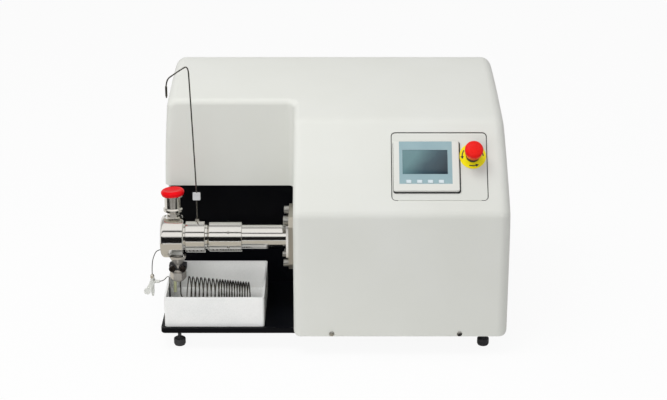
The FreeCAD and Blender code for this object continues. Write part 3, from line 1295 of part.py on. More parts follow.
def make_screen_gasket():
    """Dark gasket between the panel plate and the operator panel."""
    ring = rounded_plate(SCREEN_WIDTH + 1, SCREEN_HEIGHT + 1, GASKET_THICKNESS, SCREEN_CORNER_ROUND)
    ring = on_face(ring, SCREEN_X, SCREEN_UP, PANEL_SURFACE)
    hole = screen_hole(SCREEN_WIDTH - 2 * SCREEN_BODY_MARGIN + 1, SCREEN_HEIGHT - 2 * SCREEN_BODY_MARGIN + 1,
                       PANEL_HOLE_REACH, -PANEL_HOLE_REACH, SCREEN_X, SCREEN_UP)
    return ring.cut(hole)


def make_screen_housing():
    """Operator panel: bezel in front, body behind, pockets for the display and the keys."""
    bezel = rounded_plate(SCREEN_WIDTH, SCREEN_HEIGHT, SCREEN_THICKNESS, SCREEN_CORNER_ROUND)
    bezel = bezel.makeChamfer(SCREEN_BEVEL, edges_in_plane(bezel, "z", SCREEN_THICKNESS))
    bezel = on_face(bezel, SCREEN_X, SCREEN_UP, SCREEN_BACK)
    body = screen_hole(SCREEN_WIDTH - 2 * SCREEN_BODY_MARGIN, SCREEN_HEIGHT - 2 * SCREEN_BODY_MARGIN,
                       SCREEN_BACK, SCREEN_BACK - SCREEN_BODY_DEPTH, SCREEN_X, SCREEN_UP)
    tray = screen_hole(OVERLAY_WIDTH, OVERLAY_HEIGHT, SCREEN_FRONT + 1, SCREEN_FRONT - OVERLAY_THICKNESS,
                       *OVERLAY_PLACE)
    window = screen_hole(DISPLAY_WIDTH, DISPLAY_HEIGHT, SCREEN_FRONT + 1,
                         SCREEN_FRONT - OVERLAY_THICKNESS - DISPLAY_THICKNESS, *DISPLAY_PLACE)
    pockets = [screen_hole(KEY_WIDTH + 2 * SEAT_GAP, KEY_HEIGHT + 2 * SEAT_GAP, SCREEN_FRONT + 1,
                           POCKET_FLOOR - SEAT_GAP, across, up) for across, up in key_places()]
    return fused([bezel, body]).cut([tray, window] + pockets)


def make_screen_overlay():
    """Printed film on the bezel, open over the display and the keys."""
    film = screen_hole(OVERLAY_WIDTH, OVERLAY_HEIGHT, SCREEN_FRONT, SCREEN_FRONT - OVERLAY_THICKNESS,
                       *OVERLAY_PLACE)
    window = screen_hole(DISPLAY_WIDTH, DISPLAY_HEIGHT, SCREEN_FRONT + 1, SCREEN_FRONT - 2, *DISPLAY_PLACE)
    pockets = [screen_hole(KEY_WIDTH + 2 * SEAT_GAP, KEY_HEIGHT + 2 * SEAT_GAP, SCREEN_FRONT + 1,
                           SCREEN_FRONT - 2, across, up) for across, up in key_places()]
    return film.cut([window] + pockets)


def make_display():
    """Display glass in the bezel's window."""
    back = SCREEN_FRONT - OVERLAY_THICKNESS - DISPLAY_THICKNESS
    return screen_hole(DISPLAY_WIDTH, DISPLAY_HEIGHT, SCREEN_FRONT - OVERLAY_THICKNESS, back, *DISPLAY_PLACE)


def make_key(across, up):
    """Push key with round corners."""
    key = rounded_plate(KEY_WIDTH, KEY_HEIGHT, KEY_THICKNESS + KEY_STAND_OUT, KEY_CORNER_ROUND)
    return on_face(key, across, up, SCREEN_FRONT - KEY_THICKNESS)


def make_stop_legend():
    """Yellow disc round the emergency stop."""
    disc = rod(LEGEND_DIAMETER / 2, vec(0, 0, 0), vec(0, 0, LEGEND_THICKNESS))
    disc = disc.cut(rod(STOP_COLLAR_DIAMETER / 2 - STOP_COLLAR_WALL, vec(0, 0, -1),
                        vec(0, 0, LEGEND_THICKNESS + 1)))
    return on_face(disc, STOP_X, STOP_UP, PANEL_SURFACE)


def make_stop_collar():
    """Collar on the disc, bored for the stem."""
    base = LEGEND_THICKNESS
    collar = turned([(STOP_STEM_DIAMETER / 2 + RUNNING_CLEARANCE, base), (STOP_COLLAR_DIAMETER / 2, base),
                     (STOP_COLLAR_DIAMETER / 2, base + STOP_COLLAR_HEIGHT - STOP_COLLAR_BEVEL),
                     (STOP_COLLAR_DIAMETER / 2 - STOP_COLLAR_BEVEL, base + STOP_COLLAR_HEIGHT),
                     (STOP_STEM_DIAMETER / 2 + RUNNING_CLEARANCE, base + STOP_COLLAR_HEIGHT)])
    return on_face(collar, STOP_X, STOP_UP, PANEL_SURFACE)


def make_stop_block():
    """Contact block behind the panel plate, bored for the stem."""
    half = STOP_BLOCK_SIZE / 2
    top = -COVER_WALL - PANEL_THICKNESS
    body = block(-half, half, -half, half, top - STOP_BLOCK_DEPTH, top)
    bore = rod(STOP_STEM_DIAMETER / 2 + RUNNING_CLEARANCE, vec(0, 0, top - STOP_STEM_ENGAGED),
               vec(0, 0, top + 1))
    return on_face(body.cut(bore), STOP_X, STOP_UP, 0)


MUSHROOM_BASE = MUSHROOM_TOP - MUSHROOM_THICKNESS


def make_stop_stem():
    """Stem with a tenon that the mushroom turns on."""
    low = -COVER_WALL - PANEL_THICKNESS - STOP_STEM_ENGAGED + STOP_TRAVEL + 2
    stem = STOP_STEM_DIAMETER / 2
    tenon = STOP_TENON_DIAMETER / 2
    step = MUSHROOM_BASE - SEAT_GAP
    tenon_top = MUSHROOM_BASE + STOP_TENON_LENGTH
    shape = turned([(0, low), (stem, low), (stem, step), (tenon, step), (tenon, tenon_top), (0, tenon_top)])
    return on_face(shape, STOP_X, STOP_UP, 0)


def make_mushroom():
    """Domed head of the emergency stop, turned in one outline."""
    half = MUSHROOM_DIAMETER / 2
    bore = STOP_TENON_DIAMETER / 2 + RUNNING_CLEARANCE
    bore_top = MUSHROOM_BASE + STOP_TENON_LENGTH + SEAT_GAP
    turns = [math.radians(90 * step / MUSHROOM_DOME_STEPS) for step in range(MUSHROOM_DOME_STEPS + 1)]
    dome = [(half * math.sin(turn), MUSHROOM_TOP - MUSHROOM_DOME * (1 - math.cos(turn))) for turn in turns]
    outline = [(0, bore_top)] + dome + [(half, MUSHROOM_BASE + MUSHROOM_RIM),
                                        (half - MUSHROOM_UNDERCUT, MUSHROOM_BASE), (bore, MUSHROOM_BASE),
                                        (bore, bore_top)]
    return on_face(turned(outline), STOP_X, STOP_UP, 0)


def make_bulkhead():
    """Upright plate that stands on the base plate and takes the pump's thrust."""
    back = BULKHEAD_FRONT + BULKHEAD_DEPTH
    plate = block(BULKHEAD_LEFT, BULKHEAD_RIGHT, BULKHEAD_FRONT, back, PLATE_TOP, BULKHEAD_TOP)
    boss = pump_rod(BULKHEAD_BOSS_DIAMETER, MAIN_LEFT, BULKHEAD_LEFT + 1)
    return fused([plate, boss]).cut(pump_rod(PLUNGER_DIAMETER + 4, MAIN_LEFT - 1, BULKHEAD_RIGHT + 1))


def make_yoke():
    """Distance piece with windows, between the bulkhead and the hydraulic cylinder."""
    tube = pump_rod(YOKE_DIAMETER, BULKHEAD_RIGHT, FRONT_CAP_LEFT)
    tube = tube.cut(pump_rod(YOKE_DIAMETER - 2 * YOKE_WALL, BULKHEAD_RIGHT - 1, FRONT_CAP_LEFT + 1))
    half = YOKE_WINDOW_WIDTH / 2
    window = block(BULKHEAD_RIGHT + YOKE_WINDOW_MARGIN, FRONT_CAP_LEFT - YOKE_WINDOW_MARGIN,
                   PUMP_Y - YOKE_DIAMETER, PUMP_Y + YOKE_DIAMETER, PUMP_Z - half, PUMP_Z + half)
    return tube.cut(window)


def tie_rod_places():
    """Y and Z of each tie rod."""
    half = TIE_ROD_SPACING / 2
    return [(PUMP_Y + y_sign * half, PUMP_Z + z_sign * half) for y_sign in (-1, 1) for z_sign in (-1, 1)]


def cylinder_cap(left, bore):
    """Square cap of the hydraulic cylinder, bored for the rod and the tie rods."""
    half = CYLINDER_CAP_SIZE / 2
    right = left + CYLINDER_CAP_THICKNESS
    cap = block(left, right, PUMP_Y - half, PUMP_Y + half, PUMP_Z - half, PUMP_Z + half)
    radius = TIE_ROD_DIAMETER / 2
    holes = [rod(radius, vec(left - 1, y, z), vec(right + 1, y, z)) for y, z in tie_rod_places()]
    if bore:
        holes.append(pump_rod(bore, left - 1, right + 1))
    return cap.cut(holes)


def make_cylinder_caps():
    """Front and rear caps of the hydraulic cylinder."""
    return [cylinder_cap(FRONT_CAP_LEFT, PISTON_ROD_DIAMETER + 2 * RUNNING_CLEARANCE),
            cylinder_cap(REAR_CAP_LEFT, 0)]


def make_cylinder_tube():
    """Tube of the hydraulic cylinder."""
    tube = pump_rod(CYLINDER_DIAMETER, TUBE_LEFT, REAR_CAP_LEFT)
    return tube.cut(pump_rod(CYLINDER_BORE, TUBE_LEFT - 1, REAR_CAP_LEFT + 1))


def make_tie_rods():
    """Four tie rods that end just past the rear cap."""
    return [rod(TIE_ROD_DIAMETER / 2, vec(FRONT_CAP_LEFT, y, z), vec(CYLINDER_RIGHT + TIE_ROD_END, y, z))
            for y, z in tie_rod_places()]


def make_plunger():
    """Ceramic plunger."""
    plunger = pump_rod(PLUNGER_DIAMETER, PLUNGER_TIP, COUPLING_REST)
    return plunger.makeChamfer(2, edges_in_plane(plunger, "x", PLUNGER_TIP))


def make_coupling():
    """Coupling between plunger and piston rod."""
    half = COUPLING_DIAMETER / 2
    end = COUPLING_REST + COUPLING_LENGTH
    return on_pump_axis([(0, COUPLING_REST), (half - 2, COUPLING_REST), (half, COUPLING_REST + 2),
                         (half, end - 2), (half - 2, end), (0, end)])


def make_piston():
    """Hydraulic piston and its rod."""
    rod_radius = PISTON_ROD_DIAMETER / 2
    right = REAR_CAP_LEFT - PISTON_REST_GAP
    left = right - PISTON_LENGTH
    crown = CYLINDER_BORE / 2 - RUNNING_CLEARANCE
    start = COUPLING_REST + COUPLING_LENGTH
    return on_pump_axis([(0, start), (rod_radius, start), (rod_radius, left), (crown, left), (crown, right),
                         (0, right)])


def make_brackets():
    """Two posts under the cylinder's caps."""
    half = BRACKET_DEPTH / 2
    top = PUMP_Z - CYLINDER_CAP_SIZE / 2
    return [block(left, left + CYLINDER_CAP_THICKNESS, PUMP_Y - half, PUMP_Y + half, PLATE_TOP, top)
            for left in (FRONT_CAP_LEFT, REAR_CAP_LEFT)]


def make_valve_block():
    """Hydraulic valve block that bridges the cylinder's caps."""
    half = VALVE_BLOCK_DEPTH / 2
    low = PUMP_Z + CYLINDER_CAP_SIZE / 2
    body = block(FRONT_CAP_LEFT, CYLINDER_RIGHT, PUMP_Y - half, PUMP_Y + half, low, low + VALVE_BLOCK_HEIGHT)
    return body.makeChamfer(2, edges_in_plane(body, "z", low + VALVE_BLOCK_HEIGHT))


def make_solenoids():
    """Two solenoids on the valve block."""
    low = PUMP_Z + CYLINDER_CAP_SIZE / 2 + VALVE_BLOCK_HEIGHT
    coils = []
    for index in range(2):
        x = FRONT_CAP_LEFT + SOLENOID_DIAMETER + index * SOLENOID_SPACING
        coils.append(rod(SOLENOID_DIAMETER / 2, vec(x, PUMP_Y, low), vec(x, PUMP_Y, low + SOLENOID_HEIGHT)))
    return coils


def motor_rod(diameter, left, right, z=MOTOR_Z):
    """Cylinder on the motor's axis, or on the idler's."""
    return rod(diameter / 2, vec(left, MOTOR_Y, z), vec(right, MOTOR_Y, z))


def make_motor():
    """Finned motor housing on a base block, hollow for the rotor."""
    right = MOTOR_LEFT + MOTOR_LENGTH
    body = motor_rod(MOTOR_DIAMETER, MOTOR_LEFT, right)
    base = block(MOTOR_LEFT + MOTOR_BASE_INSET, right - MOTOR_BASE_INSET, MOTOR_Y - MOTOR_BASE_WIDTH / 2,
                 MOTOR_Y + MOTOR_BASE_WIDTH / 2, PLATE_TOP, MOTOR_Z - MOTOR_DIAMETER / 4)
    grooves = []
    for index in range(MOTOR_FINS):
        angle = math.radians(MOTOR_FIN_START + MOTOR_FIN_ARC * index / (MOTOR_FINS - 1))
        out = vec(0, math.cos(angle), math.sin(angle))
        centre = vec(MOTOR_LEFT + MOTOR_END_WALL, MOTOR_Y, MOTOR_Z)
        centre = centre + out * (MOTOR_DIAMETER / 2 - MOTOR_FIN_DEPTH)
        groove = Part.makeBox(MOTOR_LENGTH - 2 * MOTOR_END_WALL, 2 * MOTOR_FIN_DEPTH, MOTOR_FIN_WIDTH,
                              vec(0, 0, -MOTOR_FIN_WIDTH / 2))
        groove.Placement = FreeCAD.Placement(centre, FreeCAD.Rotation(vec(1, 0, 0), math.degrees(angle)))
        grooves.append(groove)
    body = fused([body, base]).cut(grooves)
    room = motor_rod(MOTOR_BORE, MOTOR_LEFT + MOTOR_END_WALL, right - MOTOR_END_WALL)
    shaft_hole = motor_rod(SHAFT_DIAMETER + 2 * RUNNING_CLEARANCE, MOTOR_LEFT - 1, right - MOTOR_END_WALL + 1)
    return body.cut([room, shaft_hole])


def make_rotor():
    """Motor rotor and its shaft, which reaches into the gear pump."""
    left = MOTOR_LEFT + MOTOR_END_WALL + ROTOR_GAP
    right = MOTOR_LEFT + MOTOR_LENGTH - MOTOR_END_WALL - ROTOR_GAP
    core = motor_rod(MOTOR_BORE - 2 * ROTOR_GAP, left, right)
    shaft = motor_rod(SHAFT_DIAMETER, GEAR_LEFT + GEAR_WIDTH + SEAT_GAP, left + 1)
    return fused([core, shaft])


def gear(z, phase):
    """Spur gear about a line parallel to X, with straight-flanked teeth and some backlash."""
    pitch_angle = 360 / GEAR_TEETH
    tip = GEAR_RADIUS + GEAR_MODULE - GEAR_CLEARANCE / 2
    root = GEAR_RADIUS - GEAR_MODULE - GEAR_CLEARANCE / 2
    corners = []
    for tooth in range(GEAR_TEETH):
        middle = phase + tooth * pitch_angle
        flank = ((root, -TOOTH_ROOT_SHARE), (GEAR_RADIUS, -TOOTH_PITCH_SHARE), (tip, -TOOTH_TIP_SHARE),
                 (tip, TOOTH_TIP_SHARE), (GEAR_RADIUS, TOOTH_PITCH_SHARE), (root, TOOTH_ROOT_SHARE))
        for radius, share in flank:
            slack = math.copysign(GEAR_BACKLASH, share) if radius > root else 0
            angle = math.radians(middle + share * pitch_angle - slack)
            corners.append(vec(0, radius * math.cos(angle), radius * math.sin(angle)))
    blank = Part.Face(Part.makePolygon(corners + corners[:1])).extrude(vec(GEAR_WIDTH, 0, 0))
    blank.translate(vec(GEAR_LEFT, MOTOR_Y, z))
    return blank


def make_drive_gear():
    """Driven gear of the pump, on the motor's line."""
    return gear(MOTOR_Z, 90)


def make_idler_gear():
    """Idler gear with its stub shafts, in mesh above the driven gear."""
    stub = motor_rod(IDLER_SHAFT_DIAMETER, GEAR_LEFT - PUMP_WALL / 2,
                     GEAR_LEFT + GEAR_WIDTH + PUMP_WALL / 2, IDLER_Z)
    return fused([gear(IDLER_Z, 90 + 180 / GEAR_TEETH), stub])


def make_gear_pump():
    """Pump housing with a figure-eight room for the gears and a foot on the base plate."""
    reach = GEAR_RADIUS + GEAR_MODULE + PUMP_WALL
    left = GEAR_LEFT - PUMP_WALL
    low = MOTOR_Z - reach
    body = block(left, MOTOR_LEFT, MOTOR_Y - reach, MOTOR_Y + reach, low, IDLER_Z + reach)
    uprights = [edge for edge in body.Edges if edge.BoundBox.XLength > 1]
    body = body.makeFillet(PUMP_CORNER_ROUND, uprights)
    foot = block(left, MOTOR_LEFT, MOTOR_Y - reach / 2, MOTOR_Y + reach / 2, PLATE_TOP, low + 1)
    swept = 2 * (GEAR_RADIUS + GEAR_MODULE)
    gap = SEAT_GAP
    rooms = [motor_rod(swept, GEAR_LEFT - gap, GEAR_LEFT + GEAR_WIDTH + gap, z) for z in (MOTOR_Z, IDLER_Z)]
    shaft = motor_rod(SHAFT_DIAMETER + 2 * RUNNING_CLEARANCE, GEAR_LEFT, MOTOR_LEFT + 1)
    stub = motor_rod(IDLER_SHAFT_DIAMETER + 2 * RUNNING_CLEARANCE, GEAR_LEFT - PUMP_WALL / 2 - gap,
                     GEAR_LEFT + GEAR_WIDTH + PUMP_WALL / 2 + gap, IDLER_Z)
    return fused([body, foot]).cut(rooms + [shaft, stub])


def make_oil_tank():
    """Oil reservoir behind the bay, with a filler cap."""
    top = PLATE_TOP + TANK_HEIGHT
    tank = block(TANK_LEFT, TANK_LEFT + TANK_WIDTH, TANK_FRONT, TANK_FRONT + TANK_DEPTH, PLATE_TOP, top)
    tank = tank.makeFillet(TANK_ROUND, [edge for edge in tank.Edges if edge.BoundBox.ZLength > 1])
    x = TANK_LEFT + TANK_WIDTH / 2
    y = TANK_FRONT + TANK_DEPTH / 2
    filler = rod(FILLER_DIAMETER / 2, vec(x, y, top - 1), vec(x, y, top + FILLER_HEIGHT))
    return fused([tank, filler])


def make_pressure_pipe():
    """Pipe from the gear pump to the valve block."""
    reach = GEAR_RADIUS + GEAR_MODULE + PUMP_WALL
    x = GEAR_LEFT + GEAR_WIDTH / 2
    corner_z = PUMP_Z + (CYLINDER_CAP_SIZE + VALVE_BLOCK_HEIGHT) / 2
    top = vec(x, MOTOR_Y, IDLER_Z + reach)
    block_back = PUMP_Y + VALVE_BLOCK_DEPTH / 2
    entry_x = FRONT_CAP_LEFT + PIPE_BEND
    loop_z = corner_z + PIPE_LOOP_RISE
    points = [top, vec(x, MOTOR_Y, loop_z), vec(x, block_back + PRESSURE_PIPE_SWING, loop_z),
              vec(entry_x, block_back + PRESSURE_PIPE_ENTRY, corner_z), vec(entry_x, block_back, corner_z)]
    return pipe(points, PIPE_DIAMETER, PRESSURE_PIPE_BEND)


def make_return_pipe():
    """Pipe from the valve block's top back to the oil reservoir."""
    low = PUMP_Z + CYLINDER_CAP_SIZE / 2 + VALVE_BLOCK_HEIGHT
    x = CYLINDER_RIGHT - PIPE_BEND
    y = TANK_FRONT + TANK_DEPTH / 2
    tank_x = TANK_LEFT + TANK_WIDTH - TANK_ROUND - PIPE_BEND
    loop_z = low + PIPE_LOOP_RISE
    points = [vec(x, PUMP_Y, low), vec(x, PUMP_Y, loop_z), vec(x, y, loop_z), vec(tank_x, y, loop_z),
              vec(tank_x, y, PLATE_TOP + TANK_HEIGHT)]
    return pipe(points, PIPE_DIAMETER, PIPE_BEND)


def make_suction_pipe():
    """Pipe from the oil reservoir's side to the gear pump's side."""
    return motor_rod(SUCTION_PIPE_DIAMETER, TANK_LEFT + TANK_WIDTH, GEAR_LEFT - PUMP_WALL, MOTOR_Z)


def make_power_supply():
    """Power supply case on the base plate."""
    top = PLATE_TOP + SUPPLY_HEIGHT
    case = block(SUPPLY_LEFT, SUPPLY_LEFT + SUPPLY_WIDTH, SUPPLY_FRONT, SUPPLY_FRONT + SUPPLY_DEPTH,
                 PLATE_TOP, top)
    starts = [SUPPLY_FRONT + SUPPLY_SLOT_START + SUPPLY_SLOT_PITCH * index for index in range(SUPPLY_SLOTS)]
    slots = [block(SUPPLY_LEFT + SUPPLY_SLOT_MARGIN, SUPPLY_LEFT + SUPPLY_WIDTH - SUPPLY_SLOT_MARGIN, start,
                   start + SUPPLY_SLOT_WIDTH, top - SUPPLY_SLOT_DEPTH, top + 1) for start in starts]
    return case.cut(slots)


def make_controller():
    """Control module on the power supply."""
    low = PLATE_TOP + SUPPLY_HEIGHT
    left = SUPPLY_LEFT + (SUPPLY_WIDTH - CONTROLLER_WIDTH) / 2
    front = SUPPLY_FRONT + (SUPPLY_DEPTH - CONTROLLER_DEPTH) / 2
    body = block(left, left + CONTROLLER_WIDTH, front, front + CONTROLLER_DEPTH, low, low + CONTROLLER_HEIGHT)
    return body.makeFillet(CONTROLLER_ROUND, [edge for edge in body.Edges if edge.BoundBox.ZLength > 1])


def make_rear_panel():
    """Rear sheet with vents and holes for the fan, the mains inlet and the switch."""
    half = REAR_OPENING_WIDTH / 2 + REAR_PANEL_LAP
    sheet = block(-half, half, REAR_PANEL_FRONT, REAR_INSIDE, REAR_OPENING_BOTTOM - REAR_PANEL_LAP,
                  REAR_OPENING_TOP + REAR_PANEL_LAP)
    front = REAR_PANEL_FRONT - 1
    back = REAR_INSIDE + 1
    cuts = [block(VENT_X - VENT_WIDTH / 2, VENT_X + VENT_WIDTH / 2, front, back, VENT_BOTTOM + index * VENT_PITCH,
                  VENT_BOTTOM + index * VENT_PITCH + VENT_HEIGHT) for index in range(VENT_COUNT)]
    cuts.append(rod(FAN_BORE / 2, vec(FAN_X, front, FAN_Z), vec(FAN_X, back, FAN_Z)))
    for x, width, height in ((INLET_SOCKET_X, SOCKET_WIDTH, SOCKET_HEIGHT), (SWITCH_X, SWITCH_WIDTH, SWITCH_HEIGHT)):
        cuts.append(block(x - width / 2, x + width / 2, front, back, INLET_SOCKET_Z - height / 2,
                          INLET_SOCKET_Z + height / 2))
    return sheet.cut(cuts)


def make_fan_frame():
    """Square fan frame with a round duct and a mount for the hub on four struts."""
    half = FAN_SIZE / 2
    front = REAR_PANEL_FRONT - FAN_THICKNESS
    frame = block(FAN_X - half, FAN_X + half, front, REAR_PANEL_FRONT, FAN_Z - half, FAN_Z + half)
    frame = frame.cut(rod(FAN_BORE / 2, vec(FAN_X, front - 1, FAN_Z),
                          vec(FAN_X, REAR_PANEL_FRONT + 1, FAN_Z)))
    mount_back = front + FAN_MOUNT_THICKNESS
    mount = rod(FAN_HUB_DIAMETER / 2, vec(FAN_X, front, FAN_Z), vec(FAN_X, mount_back, FAN_Z))
    pin = rod(FAN_PIN_DIAMETER / 2, vec(FAN_X, front, FAN_Z),
              vec(FAN_X, REAR_PANEL_FRONT - FAN_PIN_STAND_BACK, FAN_Z))
    wide = FAN_STRUT_WIDTH / 2
    level = block(FAN_X - half + 1, FAN_X + half - 1, front, mount_back, FAN_Z - wide, FAN_Z + wide)
    upright = block(FAN_X - wide, FAN_X + wide, front, mount_back, FAN_Z - half + 1, FAN_Z + half - 1)
    return fused([frame, mount, pin, level, upright])


def make_fan_rotor():
    """Fan hub and pitched blades."""
    front = REAR_PANEL_FRONT - FAN_THICKNESS + FAN_MOUNT_THICKNESS + 1
    back = REAR_PANEL_FRONT - FAN_ROTOR_STAND_BACK
    hub = rod(FAN_HUB_DIAMETER / 2, vec(0, front, 0), vec(0, back, 0))
    reach = FAN_BORE / 2 - FAN_TIP_GAP
    middle = (front + back) / 2
    chord = FAN_CHORD_SHARE * (back - front) / math.cos(math.radians(FAN_BLADE_PITCH))
    blades = []
    for index in range(FAN_BLADES):
        blade = block(FAN_HUB_DIAMETER / 2 - 2, reach + 1, -chord / 2, chord / 2, -FAN_BLADE_THICKNESS / 2,
                      FAN_BLADE_THICKNESS / 2)
        blade.rotate(vec(0, 0, 0), vec(1, 0, 0), FAN_BLADE_PITCH)
        blade.translate(vec(0, middle, 0))
        blade.rotate(vec(0, 0, 0), vec(0, 1, 0), 360 * index / FAN_BLADES)
        blades.append(blade)
    swept = rod(reach, vec(0, front, 0), vec(0, back, 0))
    rotor = fused([hub] + blades).common(swept)
    rotor = rotor.cut(rod(FAN_PIN_DIAMETER / 2 + RUNNING_CLEARANCE, vec(0, front - 1, 0),
                          vec(0, REAR_PANEL_FRONT - FAN_PIN_STAND_BACK + SEAT_GAP, 0)))
    rotor.translate(vec(FAN_X, 0, FAN_Z))
    return rotor


def make_fan_guard():
    """Guard on the rear panel: flat rings joined by two crossed bars."""
    front = vec(FAN_X, REAR_INSIDE, FAN_Z)
    back = vec(FAN_X, REAR_INSIDE + GUARD_WIRE, FAN_Z)
    rings = []
    for index in range(GUARD_RINGS):
        radius = (FAN_BORE / 2 + GUARD_WIRE) * (index + 1) / GUARD_RINGS
        rings.append(rod(radius + GUARD_WIRE / 2, front, back).cut(rod(radius - GUARD_WIRE / 2, front, back)))
    reach = FAN_BORE / 2 + GUARD_WIRE
    bars = []
    for turn in (45, -45):
        bar = block(-reach, reach, REAR_INSIDE, REAR_INSIDE + GUARD_WIRE, -GUARD_WIRE / 2, GUARD_WIRE / 2)
        bar.rotate(vec(0, 0, 0), vec(0, 1, 0), turn)
        bar.translate(vec(FAN_X, 0, FAN_Z))
        bars.append(bar)
    return fused(rings + bars)


def make_mains_inlet():
    """Mains inlet socket through the rear panel, hollow, with three blades."""
    wide = SOCKET_WIDTH / 2
    high = SOCKET_HEIGHT / 2
    back = REAR_INSIDE + SOCKET_FLANGE
    mouth = SOCKET_MOUTH_WIDTH / 2
    mouth_high = SOCKET_MOUTH_HEIGHT / 2
    floor = REAR_INSIDE - SOCKET_DEPTH + SOCKET_FLOOR
    blade_wide, blade_high = (size / 2 for size in SOCKET_BLADE)
    flange = block(-wide - SOCKET_FLANGE_SIDE, wide + SOCKET_FLANGE_SIDE, REAR_INSIDE, back,
                   -high - SOCKET_FLANGE_TOP, high + SOCKET_FLANGE_TOP)
    body = block(-wide, wide, REAR_INSIDE - SOCKET_DEPTH, back, -high, high)
    socket = fused([flange, body]).cut(block(-mouth, mouth, floor, back + 1, -mouth_high, mouth_high))
    tip = back - SOCKET_FLOOR
    blades = [block(x - blade_wide, x + blade_wide, floor - 1, tip, z - blade_high, z + blade_high)
              for x, z in SOCKET_BLADE_PLACES]
    inlet = fused([socket] + blades)
    inlet.translate(vec(INLET_SOCKET_X, 0, INLET_SOCKET_Z))
    return inlet


def make_switch_body():
    """Frame of the power switch, open at the back, with a pin for the rocker."""
    wide = SWITCH_WIDTH / 2
    high = SWITCH_HEIGHT / 2
    front = REAR_INSIDE - SWITCH_DEPTH
    rim, proud = SWITCH_FLANGE
    back = REAR_INSIDE + proud
    flange = block(-wide - rim, wide + rim, REAR_INSIDE, back, -high - rim, high + rim)
    body = block(-wide, wide, front, back, -high, high)
    hollow = block(-wide + SWITCH_WALL, wide - SWITCH_WALL, front + SWITCH_WALL, back + 1, -high + SWITCH_WALL,
                   high - SWITCH_WALL)
    pin_y = REAR_INSIDE - ROCKER_PIN_DEPTH
    pin = rod(ROCKER_PIN_DIAMETER / 2, vec(-wide + 1, pin_y, 0), vec(wide - 1, pin_y, 0))
    switch = fused([fused([flange, body]).cut(hollow), pin])
    switch.translate(vec(SWITCH_X, 0, INLET_SOCKET_Z))
    return switch


def make_rocker():
    """Rocker of the power switch, bored for its pin, pressed at the top."""
    side_gap, end_gap = ROCKER_GAP
    root_depth, root_high = ROCKER_ROOT
    wide = SWITCH_WIDTH / 2 - SWITCH_WALL - side_gap
    high = SWITCH_HEIGHT / 2 - SWITCH_WALL - end_gap
    pivot_y = REAR_INSIDE - ROCKER_PIN_DEPTH
    corners = [vec(-wide, -root_depth, -root_high), vec(-wide, ROCKER_STAND_OUT, -high),
               vec(-wide, ROCKER_WAIST, 0), vec(-wide, ROCKER_STAND_OUT, high),
               vec(-wide, -root_depth, root_high)]
    body = Part.Face(Part.makePolygon(corners + corners[:1])).extrude(vec(2 * wide, 0, 0))
    bore = ROCKER_PIN_DIAMETER / 2 + RUNNING_CLEARANCE
    body = body.cut(rod(bore, vec(-wide - 1, 0, 0), vec(wide + 1, 0, 0)))
    body.rotate(vec(0, 0, 0), vec(1, 0, 0), ROCKER_ANGLE)
    body.translate(vec(SWITCH_X, pivot_y, INLET_SOCKET_Z))
    return body


def make_cover_screws():
    """Low domed screws in the cover's front and sides."""
    radius = COVER_SCREW_DIAMETER / 2
    outline = [(radius * share, height) for share, height in COVER_SCREW_OUTLINE]
    head = turned([(0, 0)] + outline + [(0, outline[-1][1])])
    return [placed(head, vec(FRONT_SCREW_LEFT, 0, FRONT_SCREW_Z), vec(0, -1, 0)),
            placed(head, vec(FRONT_SCREW_RIGHT, 0, FRONT_SCREW_Z), vec(0, -1, 0)),
            placed(head, vec(-HALF_WIDTH, SIDE_SCREW_Y, SIDE_SCREW_Z), vec(-1, 0, 0)),
            placed(head, vec(HALF_WIDTH, SIDE_SCREW_Y, SIDE_SCREW_Z), vec(1, 0, 0))]


